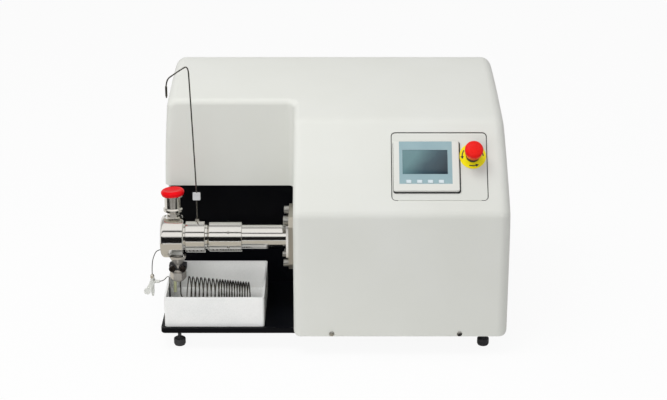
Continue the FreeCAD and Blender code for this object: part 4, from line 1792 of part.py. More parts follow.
def build_nodes():
    """Every piece of the machine by name."""
    nodes = {
        "cover": make_cover(),
        "bay_liner": make_bay_liner(),
        "base_plate": make_base_plate(),
        "fixings": group(make_lock_nuts() + make_cover_screws()),
        "tray": make_tray(),
        "cooling_coil": group([make_cooling_coil(), make_outlet_tube()]),
        "drain_tube": make_drain_tube(),
        "pump_head": group([make_pump_head()] + make_valve_seats()),
        "head_collar": make_collar(),
        "ring_nut": make_ring_nut(),
        "barrel": make_barrel(),
        "flange_plate": make_flange_plate(),
        "flange_screws": make_flange_screws(),
        "seal_pack": group([make_seal_ring(), make_guide_bush()]),
        "inlet_ball": valve_ball(INLET_X, INLET_SEAT_BOTTOM),
        "outlet_ball": valve_ball(OUTLET_X, OUTLET_SEAT_BOTTOM),
        "inlet_neck": make_inlet_neck(),
        "inlet_cap": make_inlet_cap(),
        "interaction_chamber": make_interaction_chamber(),
        "chamber_clamp": group([make_chamber_clamp()] + make_clamp_screws()),
        "chamber_nut": make_chamber_nut(),
        "spout": make_spout(),
        "riser_clip": make_riser_clip(),
        "line_fittings": group([make_riser_fitting(), make_ferrule()]),
        "thin_lines": group([make_sample_line(), make_flush_line()]),
        "dip_sleeve": make_dip_sleeve(),
        "stopcock_body": make_stopcock_body(),
        "stopcock_handle": make_stopcock_handle(),
        "panel_plate": make_panel_plate(),
        "screen_gasket": make_screen_gasket(),
        "screen_housing": make_screen_housing(),
        "screen_overlay": make_screen_overlay(),
        "display": make_display(),
        "stop_legend": make_stop_legend(),
        "stop_housing": group([make_stop_collar(), make_stop_block()]),
        "stop_stem": make_stop_stem(),
        "stop_mushroom": make_mushroom(),
        "drive_frame": group([make_bulkhead(), make_yoke()] + make_brackets()),
        "hydraulic_cylinder": group([make_cylinder_tube()] + make_cylinder_caps() + make_tie_rods()),
        "valve_block": group([make_valve_block()] + make_solenoids()),
        "plunger": make_plunger(),
        "piston": fused([make_coupling(), make_piston()]),
        "motor": group([make_motor(), make_gear_pump()]),
        "rotor": fused([make_rotor(), make_drive_gear()]),
        "idler_gear": make_idler_gear(),
        "oil_system": group([make_oil_tank(), make_pressure_pipe(), make_return_pipe(), make_suction_pipe()]),
        "electrical_cases": group([make_power_supply(), make_controller()]),
        "rear_panel": make_rear_panel(),
        "fan_frame": group([make_fan_frame(), make_fan_guard()]),
        "fan_rotor": make_fan_rotor(),
        "power_entry": group([make_mains_inlet(), make_switch_body()]),
        "power_rocker": make_rocker(),
    }
    for name, x, y in foot_places():
        nodes["foot_" + name] = make_foot(x, y)
    for index, (across, up) in enumerate(key_places()):
        nodes["key_%d" % (index + 1)] = make_key(across, up)
    return nodes


def overall_box(nodes):
    """Tight box round every piece."""
    box = FreeCAD.BoundBox()
    for shape in nodes.values():
        box.add(shape.optimalBoundingBox(False))
    return box


NODES = build_nodes()
BOX = overall_box(NODES)
SHIFT = vec(-BOX.Center.x, -BOX.Center.y, -BOX.ZMin)
os.makedirs("parts", exist_ok=True)
for node_name, node_shape in NODES.items():
    node_shape.translate(SHIFT)
    node_shape.exportStep("parts/" + node_name + ".step")
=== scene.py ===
"""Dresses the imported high-pressure homogenizer and stages it in a plain white studio."""

import logging
import math
from dataclasses import dataclass
from enum import Enum

import bmesh
import bpy
from mathutils import Matrix, Vector


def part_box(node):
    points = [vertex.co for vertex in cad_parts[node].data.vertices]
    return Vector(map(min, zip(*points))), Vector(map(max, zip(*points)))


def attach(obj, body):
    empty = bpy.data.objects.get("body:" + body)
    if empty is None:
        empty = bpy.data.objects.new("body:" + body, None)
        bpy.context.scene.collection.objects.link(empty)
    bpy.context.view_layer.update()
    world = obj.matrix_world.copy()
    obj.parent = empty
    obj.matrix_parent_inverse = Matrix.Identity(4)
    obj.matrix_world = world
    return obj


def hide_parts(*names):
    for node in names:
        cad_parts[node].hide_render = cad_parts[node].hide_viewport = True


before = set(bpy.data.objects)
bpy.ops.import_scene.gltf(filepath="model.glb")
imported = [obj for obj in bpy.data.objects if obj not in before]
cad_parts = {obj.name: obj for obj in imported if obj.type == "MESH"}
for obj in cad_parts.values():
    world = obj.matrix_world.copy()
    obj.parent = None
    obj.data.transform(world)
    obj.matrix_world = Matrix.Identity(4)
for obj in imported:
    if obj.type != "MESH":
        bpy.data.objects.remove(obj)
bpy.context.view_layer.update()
COVER_LOW, COVER_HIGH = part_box("cover")
ORIGIN = Vector(((COVER_LOW.x + COVER_HIGH.x) / 2, COVER_LOW.y, 0.0))
MM = 0.001
PUMP_Y = 140.0
CREASE_Z = 333.0
FACE_LEAN = 39.0
NOISE_LOW = 0.3
NOISE_HIGH = 0.7
CLOUD_DETAIL = 3.0
GRAIN_DETAIL = 2.0
RELIEF_DEPTH = 0.0004
SAME_POINT = 1e-6
CORNER_STEPS = 8
EDGE_STEPS = 3
TUBE_STEPS = 3
BEND_STEPS = 10
ROUND_FROM = 25
SMOOTH_BELOW = 40
log = logging.getLogger("homogenizer")


def at(x: float, y: float, z: float) -> Vector:
    """Point given in millimetres from the cover's middle, its lower front face and the bench."""
    return ORIGIN + Vector((x, y, z)) * MM


def upright(x: float, y: float, z: float) -> Matrix:
    """Place of a piece that stands on this point, its own height along Z."""
    return Matrix.Translation(at(x, y, z))


def toward(x: float, y: float, z: float, axis: tuple[float, float, float]) -> Matrix:
    """Place of a piece whose own height points along this axis."""
    return Matrix.Translation(at(x, y, z)) @ Vector(axis).to_track_quat("Z", "Y").to_matrix().to_4x4()


def on_face(across: float, up: float, out: float) -> Matrix:
    """Place on the leaning face: across the machine, up from the crease, out of the face."""
    lean = Matrix.Rotation(math.radians(90 - FACE_LEAN), 4, "X")
    return Matrix.Translation(at(0, 0, CREASE_Z)) @ lean @ Matrix.Translation(Vector((across, up, out)) * MM)


def tone(red: int, green: int, blue: int) -> tuple[float, float, float]:
    """Linear colour of a screen colour given in 0 to 255 steps."""
    steps = [value / 255 for value in (red, green, blue)]
    return tuple(v / 12.92 if v <= 0.04045 else ((v + 0.055) / 1.055) ** 2.4 for v in steps)


def warm_grey(value: float) -> tuple[float, float, float]:
    """Grey with a warm cast, as the studio shows in polished steel."""
    return value, value * 0.985, value * 0.96


def feed(tree: bpy.types.NodeTree, node: bpy.types.Node, inputs: dict[str | int, object]) -> bpy.types.Node:
    """Feeds inputs of a shader node.

    Args:
        tree: The node tree.
        node: The node.
        inputs: What each input gets, the output of another node or a plain value.

    Returns:
        The same node.
    """
    for label, value in inputs.items():
        if isinstance(value, bpy.types.NodeSocket):
            tree.links.new(value, node.inputs[label])
        else:
            node.inputs[label].default_value = value
    return node


def added(tree: bpy.types.NodeTree, kind: str, inputs: dict[str | int, object]) -> bpy.types.Node:
    """Adds a shader node of this kind and feeds its inputs."""
    return feed(tree, tree.nodes.new("ShaderNode" + kind), inputs)


def math_node(tree: bpy.types.NodeTree, operation: str, *values: object) -> bpy.types.NodeSocket:
    """Adds a math node.

    Args:
        tree: The node tree it goes into.
        operation: What it works out.
        values: Its values, each a socket or a number.

    Returns:
        The socket of its result.
    """
    node = tree.nodes.new("ShaderNodeMath")
    node.operation = operation
    return feed(tree, node, dict(enumerate(values))).outputs[0]


def graded(tree: bpy.types.NodeTree, share: bpy.types.NodeSocket,
           stops: list[tuple[float, tuple[float, float, float]]]) -> bpy.types.NodeSocket:
    """Adds a colour ramp.

    Args:
        tree: The node tree it goes into.
        share: The socket that says where the ramp is read.
        stops: Its stops, each a position and a linear colour.

    Returns:
        The socket of its colour.
    """
    ramp = added(tree, "ValToRGB", {"Fac": share})
    elements = ramp.color_ramp.elements
    for index, (position, colour) in enumerate(stops):
        stop = elements[0] if index == 0 else elements.new(position)
        stop.position = position
        stop.color = (*colour, 1)
    elements.remove(elements[-1])
    return ramp.outputs["Color"]


@dataclass(frozen=True)
class Finish:
    """One procedural surface: colour with a faint second tone, uneven gloss and a fine relief."""

    name: str
    colour: tuple[float, float, float]
    second: tuple[float, float, float]
    metallic: float = 0.0
    gloss: tuple[float, float] = (0.35, 0.45)
    grain: float = 900.0
    cloud: float = 14.0
    stretch: tuple[float, float, float] = (1.0, 1.0, 1.0)
    relief: float = 0.04
    coat: float = 0.0
    clear: float = 0.0
    bend: float = 1.5
    shine: float = 0.5

    def material(self) -> bpy.types.Material:
        """Builds the material once and hands out the same one afterwards.

        Returns:
            The node material of this finish.
        """
        if self.name in bpy.data.materials:
            return bpy.data.materials[self.name]
        surface = bpy.data.materials.new(self.name)
        surface.use_nodes = True
        tree = surface.node_tree
        shader = tree.nodes["Principled BSDF"]
        place = added(tree, "TexCoord", {})
        turn = added(tree, "Mapping", {"Vector": place.outputs["Object"], "Scale": self.stretch})
        cloud = self.noise(tree, turn, self.cloud, CLOUD_DETAIL)
        grain = self.noise(tree, turn, self.grain, GRAIN_DETAIL)
        colour = graded(tree, cloud, [(NOISE_LOW, self.colour), (NOISE_HIGH, self.second)])
        span = added(tree, "MapRange", {"Value": grain, "From Min": NOISE_LOW, "From Max": NOISE_HIGH,
                                        "To Min": self.gloss[0], "To Max": self.gloss[1]})
        bump = added(tree, "Bump", {"Height": grain, "Strength": self.relief, "Distance": RELIEF_DEPTH})
        feed(tree, shader, {"Base Color": colour, "Roughness": span.outputs["Result"],
                            "Normal": bump.outputs["Normal"], "Metallic": self.metallic,
                            "Coat Weight": self.coat, "Transmission Weight": self.clear,
                            "IOR": self.bend, "Specular IOR Level": self.shine})
        return surface

    def noise(self, tree: bpy.types.NodeTree, turn: bpy.types.Node, scale: float,
              detail: float) -> bpy.types.NodeSocket:
        """Adds a noise texture that reads the stretched object coordinates.

        Args:
            tree: The material's node tree.
            turn: The mapping node that gives the coordinates.
            scale: Size of the pattern, in waves per metre.
            detail: How many finer layers lie on the pattern.

        Returns:
            The socket of the pattern.
        """
        return added(tree, "TexNoise", {"Vector": turn.outputs["Vector"], "Scale": scale,
                                        "Detail": detail}).outputs["Fac"]


class Finishes(Enum):
    """Every finish on the machine."""

    SHELL = Finish("moulded_shell", tone(221, 222, 216), tone(218, 219, 212), gloss=(0.42, 0.52),
                   grain=1500.0, cloud=6.0, relief=0.05)
    TRAY = Finish("tray_plastic", tone(240, 240, 238), tone(234, 235, 233), gloss=(0.22, 0.34),
                  grain=500.0, cloud=18.0, relief=0.03)
    POLISHED = Finish("polished_steel", tone(226, 222, 214), tone(214, 209, 200), metallic=1.0,
                      gloss=(0.10, 0.17), grain=1400.0, cloud=30.0, stretch=(1.0, 0.04, 0.04), relief=0.012)
    UPRIGHT = Finish("turned_steel", tone(226, 223, 216), tone(212, 208, 200), metallic=1.0,
                     gloss=(0.12, 0.20), grain=1400.0, cloud=40.0, stretch=(0.05, 0.05, 1.0), relief=0.015)
    MACHINED = Finish("machined_steel", tone(222, 218, 211), tone(204, 199, 191), metallic=0.55,
                      gloss=(0.18, 0.28), grain=1300.0, cloud=40.0, relief=0.02)
    PLATED = Finish("zinc_plated_steel", tone(196, 195, 190), tone(170, 170, 166), metallic=1.0,
                    gloss=(0.30, 0.45), grain=900.0, cloud=45.0, relief=0.06)
    MILLED = Finish("milled_plate", tone(206, 201, 190), tone(190, 184, 172), metallic=0.9,
                    gloss=(0.34, 0.46), grain=800.0, cloud=30.0, stretch=(1.0, 1.0, 0.08), relief=0.05)
    BLACK_SHEET = Finish("black_powder_coat", tone(11, 12, 17), tone(8, 9, 13), gloss=(0.38, 0.5),
                         grain=1800.0, cloud=20.0, relief=0.12, shine=0.1)
    BLACK_PLASTIC = Finish("black_plastic", tone(26, 26, 27), tone(18, 18, 19), gloss=(0.28, 0.42),
                           grain=1500.0, cloud=40.0, relief=0.06)
    RUBBER = Finish("black_rubber", tone(30, 30, 31), tone(20, 20, 21), gloss=(0.6, 0.75), grain=1200.0,
                    cloud=50.0, relief=0.12)
    RED_CAP = Finish("red_cap_plastic", tone(232, 12, 24), tone(214, 8, 18), gloss=(0.28, 0.38),
                     grain=700.0, cloud=50.0, relief=0.03, shine=0.1)
    RED_SIGNAL = Finish("red_signal_plastic", tone(238, 22, 10), tone(226, 16, 8), gloss=(0.25, 0.36),
                        grain=900.0, cloud=60.0, relief=0.03, shine=0.3)
    BLACK_OXIDE = Finish("black_oxide_steel", tone(70, 64, 60), tone(48, 44, 42), metallic=1.0,
                         gloss=(0.16, 0.26), grain=900.0, cloud=40.0, relief=0.05)
    CAPILLARY = Finish("capillary_tube", tone(124, 121, 116), tone(100, 97, 92), metallic=1.0,
                       gloss=(0.16, 0.26), grain=1100.0, cloud=60.0, relief=0.02)
    YELLOW = Finish("yellow_legend", tone(252, 238, 6), tone(248, 230, 4), gloss=(0.4, 0.5),
                    grain=900.0, cloud=50.0, relief=0.03)
    PANEL = Finish("panel_plate", tone(218, 219, 213), tone(214, 216, 209), gloss=(0.42, 0.5),
                   grain=1600.0, cloud=8.0, relief=0.04)
    OVERLAY = Finish("overlay_film", tone(150, 177, 182), tone(142, 169, 176), gloss=(0.28, 0.38),
                     grain=1200.0, cloud=20.0, relief=0.03)
    KEY = Finish("key_cap", tone(214, 226, 230), tone(204, 218, 224), gloss=(0.2, 0.3),
                 grain=1200.0, cloud=40.0, relief=0.02)
    DARK_TRIM = Finish("screen_frame", tone(58, 70, 78), tone(50, 62, 70), gloss=(0.4, 0.5),
                       grain=1400.0, cloud=30.0, relief=0.05)
    CAST = Finish("cast_aluminium", tone(150, 150, 148), tone(132, 132, 131), metallic=0.8,
                  gloss=(0.45, 0.6), grain=700.0, cloud=25.0, relief=0.12)
    BLUE_PAINT = Finish("motor_paint", tone(60, 84, 110), tone(52, 75, 100), gloss=(0.35, 0.5),
                        grain=900.0, cloud=20.0, relief=0.08)
    BRONZE = Finish("bronze", tone(186, 140, 84), tone(164, 120, 70), metallic=1.0, gloss=(0.28, 0.4),
                    grain=900.0, cloud=30.0, relief=0.04)
    CERAMIC = Finish("white_ceramic", tone(238, 236, 226), tone(232, 229, 218), gloss=(0.12, 0.2),
                     grain=1200.0, cloud=30.0, relief=0.01, coat=0.3)
    SEAL = Finish("seal_polymer", tone(222, 214, 190), tone(212, 202, 178), gloss=(0.4, 0.5),
                  grain=900.0, cloud=40.0, relief=0.04)
    CLEAR = Finish("clear_plastic", tone(118, 121, 121), tone(158, 161, 161), gloss=(0.08, 0.16),
                   grain=400.0, cloud=160.0, relief=0.03, clear=0.12, bend=1.45)
    MILKY = Finish("milky_plastic", tone(244, 245, 240), tone(234, 236, 230), gloss=(0.25, 0.35),
                   grain=500.0, cloud=80.0, relief=0.03, clear=0.25, bend=1.45)
    SOFT_TUBE = Finish("soft_tube", tone(236, 238, 200), tone(222, 227, 176), gloss=(0.15, 0.25),
                       grain=500.0, cloud=90.0, relief=0.02, clear=0.25, bend=1.43)

    def material(self) -> bpy.types.Material:
        """The node material of this finish."""
        return self.value.material()


class Workshop:
    """Ways to make a piece by hand: turn, cut from plate, bend tube, drill and settle in place."""

    @staticmethod
    def alone(piece: bpy.types.Object) -> None:
        """Selects this piece only and makes it the active one."""
        bpy.ops.object.select_all(action="DESELECT")
        piece.select_set(True)
        bpy.context.view_layer.objects.active = piece

    @staticmethod
    def turned(outline: list[tuple[float, float]], edge: float = 0.0, steps: int = 96,
               sweep: float = 360.0) -> bpy.types.Object:
        """Spins an outline of radius and height about the Z axis.

        Args:
            outline: Corners in millimetres, each a radius and a height.
            edge: Width of the small round on every sharp edge.
            steps: How many faces go round.
            sweep: How far it is turned, in degrees.

        Returns:
            The turned piece, standing at the origin.
        """
        bpy.ops.object.select_all(action="DESELECT")
        bpy.ops.mesh.primitive_plane_add(size=MM, location=(0, 0, 0))
        bpy.ops.object.mode_set(mode="EDIT")
        bpy.ops.mesh.select_mode(type="VERT")
        bpy.ops.mesh.select_all(action="SELECT")
        bpy.ops.mesh.merge(type="CENTER")
        here = Vector((0, 0, 0))
        for index, (radius, height) in enumerate(outline):
            there = Vector((radius, 0, height)) * MM
            if index == 0:
                bpy.ops.transform.translate(value=there)
            else:
                bpy.ops.mesh.extrude_region_move(TRANSFORM_OT_translate={"value": there - here})
            here = there
        bpy.ops.mesh.select_all(action="SELECT")
        bpy.ops.mesh.spin(steps=steps, angle=math.radians(sweep), center=(0, 0, 0), axis=(0, 0, 1))
        bpy.ops.mesh.select_all(action="SELECT")
        bpy.ops.mesh.remove_doubles(threshold=SAME_POINT)
        if sweep < 360:
            bpy.ops.mesh.fill_holes(sides=0)
        bpy.ops.mesh.normals_make_consistent(inside=False)
        bpy.ops.object.mode_set(mode="OBJECT")
        piece = bpy.context.object
        Workshop.soften(piece, edge)
        return piece

    @staticmethod
    def plate(width: float, height: float, thickness: float, corner: float, edge: float) -> bpy.types.Object:
        """Cuts a plate with round corners, centred in X and Y, its back on the XY plane.

        Args:
            width: Size across X.
            height: Size across Y.
            thickness: Size along Z.
            corner: Radius of its four corners.
            edge: Width of the small round on its other edges.

        Returns:
            The plate.
        """
        bpy.ops.object.select_all(action="DESELECT")
        bpy.ops.mesh.primitive_cube_add(size=MM, location=(0, 0, thickness * MM / 2))
        piece = bpy.context.object
        piece.scale = (width, height, thickness)
        bpy.ops.object.transform_apply(location=True, rotation=False, scale=True)
        bpy.ops.object.mode_set(mode="EDIT")
        bpy.ops.mesh.select_mode(type="EDGE")
        bpy.ops.mesh.select_all(action="DESELECT")
        shape = bmesh.from_edit_mesh(piece.data)
        for line in shape.edges:
            run = line.verts[0].co - line.verts[1].co
            line.select_set(abs(run.z) > abs(run.x) + abs(run.y))
        bmesh.update_edit_mesh(piece.data)
        bpy.ops.mesh.bevel(offset=corner * MM, segments=CORNER_STEPS, affect="EDGES")
        bpy.ops.object.mode_set(mode="OBJECT")
        Workshop.soften(piece, edge)
        return piece

    @staticmethod
    def prism(sides: int, across_flats: float, height: float, edge: float) -> bpy.types.Object:
        """Cuts a bar with this many flats, its foot at the origin."""
        reach = across_flats / 2 / math.cos(math.pi / sides)
        bpy.ops.object.select_all(action="DESELECT")
        bpy.ops.mesh.primitive_cylinder_add(vertices=sides, radius=reach * MM, depth=height * MM,
                                            location=(0, 0, height * MM / 2))
        bpy.ops.object.transform_apply(location=True, rotation=False, scale=False)
        piece = bpy.context.object
        Workshop.soften(piece, edge)
        return piece

    @staticmethod
    def tube(points: list[Vector], diameter: float) -> bpy.types.Object:
        """Bends a tube along a smooth line near these points, given in metres."""
        line = bpy.data.curves.new("tube_line", "CURVE")
        line.dimensions = "3D"
        line.bevel_depth = diameter * MM / 2
        line.bevel_resolution = TUBE_STEPS
        line.resolution_u = BEND_STEPS
        line.use_fill_caps = True
        run = line.splines.new("NURBS")
        run.points.add(len(points) - 1)
        for place, point in zip(run.points, points):
            place.co = (*point, 1)
        run.order_u = 3
        run.use_endpoint_u = True
        piece = bpy.data.objects.new("tube_line", line)
        bpy.context.scene.collection.objects.link(piece)
        Workshop.alone(piece)
        bpy.ops.object.convert(target="MESH")
        bpy.ops.object.shade_smooth()
        return bpy.context.object

    @staticmethod
    def soften(piece: bpy.types.Object, edge: float) -> None:
        """Rounds every sharp edge a little, for good, and shades the piece smooth."""
        Workshop.alone(piece)
        if edge > 0:
            round_off = piece.modifiers.new("edge_round", "BEVEL")
            round_off.width = edge * MM
            round_off.segments = EDGE_STEPS
            round_off.limit_method = "ANGLE"
            round_off.angle_limit = math.radians(ROUND_FROM)
            bpy.ops.object.modifier_apply(modifier=round_off.name)
        bpy.ops.object.shade_smooth_by_angle(angle=math.radians(SMOOTH_BELOW))

    @staticmethod
    def drill(piece: bpy.types.Object, tool: bpy.types.Object) -> None:
        """Takes the tool's shape out of the piece and throws the tool away."""
        Workshop.alone(piece)
        bite = piece.modifiers.new("bite", "BOOLEAN")
        bite.operation = "DIFFERENCE"
        bite.solver = "EXACT"
        bite.object = tool
        bpy.ops.object.modifier_apply(modifier=bite.name)
        bpy.data.objects.remove(tool)

    @staticmethod
    def settle(piece: bpy.types.Object, place: Matrix) -> bpy.types.Object:
        """Moves the piece to its place and leaves the place in its mesh."""
        piece.data.transform(place)
        piece.data.update()
        return piece

    @staticmethod
    def joined(pieces: list[bpy.types.Object]) -> bpy.types.Object:
        """Joins pieces that are one part in the real machine."""
        bpy.ops.object.select_all(action="DESELECT")
        for piece in pieces:
            piece.select_set(True)
        bpy.context.view_layer.objects.active = pieces[0]
        bpy.ops.object.join()
        return bpy.context.object

    @staticmethod
    def hand_over(piece: bpy.types.Object, name: str, finish: Finishes, body: str, *nodes: str) -> None:
        """Names a finished piece, dresses it and hangs it on its body.

        Args:
            piece: The finished piece.
            name: Its name.
            finish: Its finish.
            body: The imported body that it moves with.
            nodes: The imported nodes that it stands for.
        """
        piece.name = name
        piece.data.name = name
        piece.data.materials.clear()
        piece.data.materials.append(finish.material())
        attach(piece, body)
        if nodes:
            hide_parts(*nodes)
        log.info("%s: %d faces", name, len(piece.data.polygons))


@dataclass
class InletCap:
    """Red cap on the inlet neck, slightly askew, with a thick round rim and a shallow dish."""

    centre_x: float = -358.5
    seat_z: float = 331.0
    radius: float = 26.2
    inner: float = 24.4
    round: float = 6.5
    thickness: float = 10.6
    skirt: float = 1.8
    lip: float = 0.6
    ceiling: float = 1.6
    tilt: float = 3.0
    rim_turns: range = range(-60, 100, 15)
    dish: tuple[tuple[float, float], ...] = ((16.5, 0.7), (9.0, 1.6), (0.0, 1.9))

    def build(self) -> None:
        """Turns the cap and sets it askew on the neck."""
        middle = (self.thickness - self.skirt) / 2
        half = (self.thickness + self.skirt) / 2
        rim = [(self.radius - self.round * (1 - math.cos(turn)), middle + half * math.sin(turn))
               for turn in map(math.radians, self.rim_turns)]
        top = [(radius, self.thickness - dip) for radius, dip in self.dish]
        cap = Workshop.turned([(0, self.ceiling), (self.inner, self.ceiling),
                               (self.inner, self.lip - self.skirt), *rim, *top])
        tilt = Matrix.Rotation(math.radians(-self.tilt), 4, "Y")
        Workshop.settle(cap, upright(self.centre_x, PUMP_Y, self.seat_z) @ tilt)
        Workshop.hand_over(cap, "cap_moulding", Finishes.RED_CAP, "cap", "inlet_cap")


@dataclass
class Spout:
    """Gooseneck of thin tube: a leaning riser, a tight bend at the top and a wide one before the tip."""

    diameter: float = 3.2
    sleeve: float = 5.0
    sleeve_low: float = 557.0
    sleeve_length: float = 24.0
    recess: float = 0.8
    chamfer: float = 0.6
    taper: float = 2.0
    route: tuple[tuple[float, float], ...] = (
        (-305.5, 257.7), (-305.5, 330.0), (-305.7, 352.0), (-313.0, 560.0), (-314.4, 596.0),
        (-315.2, 616.5), (-319.5, 624.6), (-327.5, 620.2), (-350.0, 605.0), (-361.0, 597.0),
        (-364.7, 583.0), (-364.7, 570.0), (-364.7, 554.0))

    def build(self) -> None:
        """Bends the tube and slips the sleeve over its end."""
        tube = Workshop.tube([at(x, PUMP_Y, z) for x, z in self.route], self.diameter)
        bore, half, top = self.diameter / 2, self.sleeve / 2, self.sleeve_length
        sleeve = Workshop.turned([(bore, self.recess), (half - self.chamfer, 0), (half, self.chamfer),
                                  (half, top - self.taper), (bore, top)], edge=0.1, steps=32)
        Workshop.settle(sleeve, upright(self.route[-1][0], PUMP_Y, self.sleeve_low))
        spout = Workshop.joined([tube, sleeve])
        Workshop.hand_over(spout, "spout_tube", Finishes.CAPILLARY, "spout_arm", "spout")


@dataclass
class FineLines:
    """Sample line from the head to the stopcock, and flush line over the tray's rim to its sleeve."""

    diameter: float = 2.0
    sample: tuple[tuple[float, float, float], ...] = (
        (-387.0, 140.0, 197.4), (-398.0, 140.0, 197.4), (-406.0, 135.0, 184.0), (-410.0, 128.0, 166.0),
        (-410.0, 128.0, 143.0))
    flush: tuple[tuple[float, float, float], ...] = (
        (-394.0, 128.0, 125.0), (-385.0, 126.0, 127.0), (-375.0, 116.0, 142.0), (-368.5, 96.0, 150.0),
        (-366.5, 82.0, 146.0), (-366.5, 80.0, 130.0))

    def build(self) -> None:
        """Bends both lines."""
        lines = [Workshop.tube([at(*point) for point in route], self.diameter)
                 for route in (self.sample, self.flush)]
        Workshop.hand_over(Workshop.joined(lines), "fine_lines", Finishes.CAPILLARY, "machine", "thin_lines")


@dataclass
class ChamberClamp:
    """Black split clamp round the interaction chamber's stem, with two cap screws in front."""

    centre_x: float = -352.0
    bottom_z: float = 152.4
    width: float = 39.6
    depth: float = 29.6
    height: float = 11.0
    corner: float = 7.0
    edge: float = 1.2
    stem: float = 18.2
    stem_sides: int = 48
    slot: float = 1.6
    slot_corner: float = 0.3
    slack: float = 10.0
    notch_foot: float = 1.5
    notch_mouth: float = 9.5
    notch_over: float = 1.0
    notch_stretch: float = 1.7
    screw: float = 15.0
    screw_height: float = 6.0
    screw_chamfer: float = 0.8
    socket_share: float = 0.5
    socket_floor: float = 2.6
    spread: float = 23.5

    def build(self) -> None:
        """Makes the two jaws and the screws."""
        jaw = Workshop.plate(self.width, self.depth, self.height, self.corner, self.edge)
        tall = self.height + 2 * self.slack
        Workshop.drill(jaw, Workshop.prism(self.stem_sides, self.stem, tall, 0))
        slot = Workshop.plate(self.width + self.slack, self.slot, tall, self.slot_corner, 0)
        Workshop.drill(jaw, Workshop.settle(slot, Matrix.Translation((0, 0, -self.slack * MM))))
        low, high = -self.notch_over, self.height + self.notch_over
        notch = Workshop.turned([(0, low), (self.notch_foot, low), (self.notch_mouth, high), (0, high)],
                                steps=4)
        front = Matrix.Translation((0, -self.depth * MM / 2, 0))
        Workshop.drill(jaw, Workshop.settle(notch, front @ Matrix.Diagonal((1, self.notch_stretch, 1, 1))))
        Workshop.settle(jaw, upright(self.centre_x, PUMP_Y, self.bottom_z))
        Workshop.soften(jaw, 0)
        Workshop.hand_over(jaw, "clamp_jaws", Finishes.BLACK_PLASTIC, "machine", "chamber_clamp")
        screws = [self.cap_screw(side * self.spread / 2) for side in (-1, 1)]
        Workshop.hand_over(Workshop.joined(screws), "clamp_screws", Finishes.BLACK_OXIDE, "machine")

    def cap_screw(self, offset: float) -> bpy.types.Object:
        """Makes one cap screw in the clamp's front face.

        Args:
            offset: How far right of the clamp's middle it sits.

        Returns:
            The screw.
        """
        half, top = self.screw / 2, self.screw_height
        screw = Workshop.turned([(0, 0), (half, 0), (half, top - self.screw_chamfer),
                                 (half - self.screw_chamfer, top), (0, top)], edge=0.3, steps=32)
        socket = Workshop.prism(6, self.screw * self.socket_share, top, 0)
        Workshop.drill(screw, Workshop.settle(socket, Matrix.Translation((0, 0, self.socket_floor * MM))))
        return Workshop.settle(screw, toward(self.centre_x + offset, PUMP_Y - self.depth / 2,
                                             self.bottom_z + self.height / 2, (0, -1, 0)))


@dataclass
class LevellingFeet:
    """Four black levelling feet with fluted knobs and rubber soles."""

    flutes: int = 14
    across_flutes: float = 26.4
    knob_low: float = 2.4
    knob_high: float = 17.0
    knob_edge: float = 2.2
    stud: float = 4.0
    sole: tuple[tuple[float, float], ...] = ((0, 0), (10.5, 0), (11.5, 0.6), (11.5, 2.6), (0, 2.6))
    collar: tuple[tuple[float, float], ...] = ((0, 16), (7.5, 16), (7, 20), (4, 20))

    def build(self) -> None:
        """Models one foot at each of the four places."""
        for side in ("left", "right"):
            for end in ("front", "rear"):
                self.foot("foot_%s_%s" % (side, end))

    def foot(self, node: str) -> None:
        """Makes the foot that stands for this node.

        Args:
            node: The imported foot's name.
        """
        low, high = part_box(node)
        top = (high.z - low.z) / MM
        sole = Workshop.turned([*self.sole], edge=0.2, steps=48)
        knob = Workshop.prism(self.flutes, self.across_flutes, self.knob_high - self.knob_low, self.knob_edge)
        Workshop.settle(knob, Matrix.Translation((0, 0, self.knob_low * MM)))
        collar = Workshop.turned([*self.collar, (self.stud, top), (0, top)], edge=0.4, steps=40)
        foot = Workshop.joined([knob, sole, collar])
        Workshop.settle(foot, Matrix.Translation(((low.x + high.x) / 2, (low.y + high.y) / 2, low.z)))
        Workshop.hand_over(foot, node.replace("foot", "knob"), Finishes.BLACK_PLASTIC, node + "_body", node)


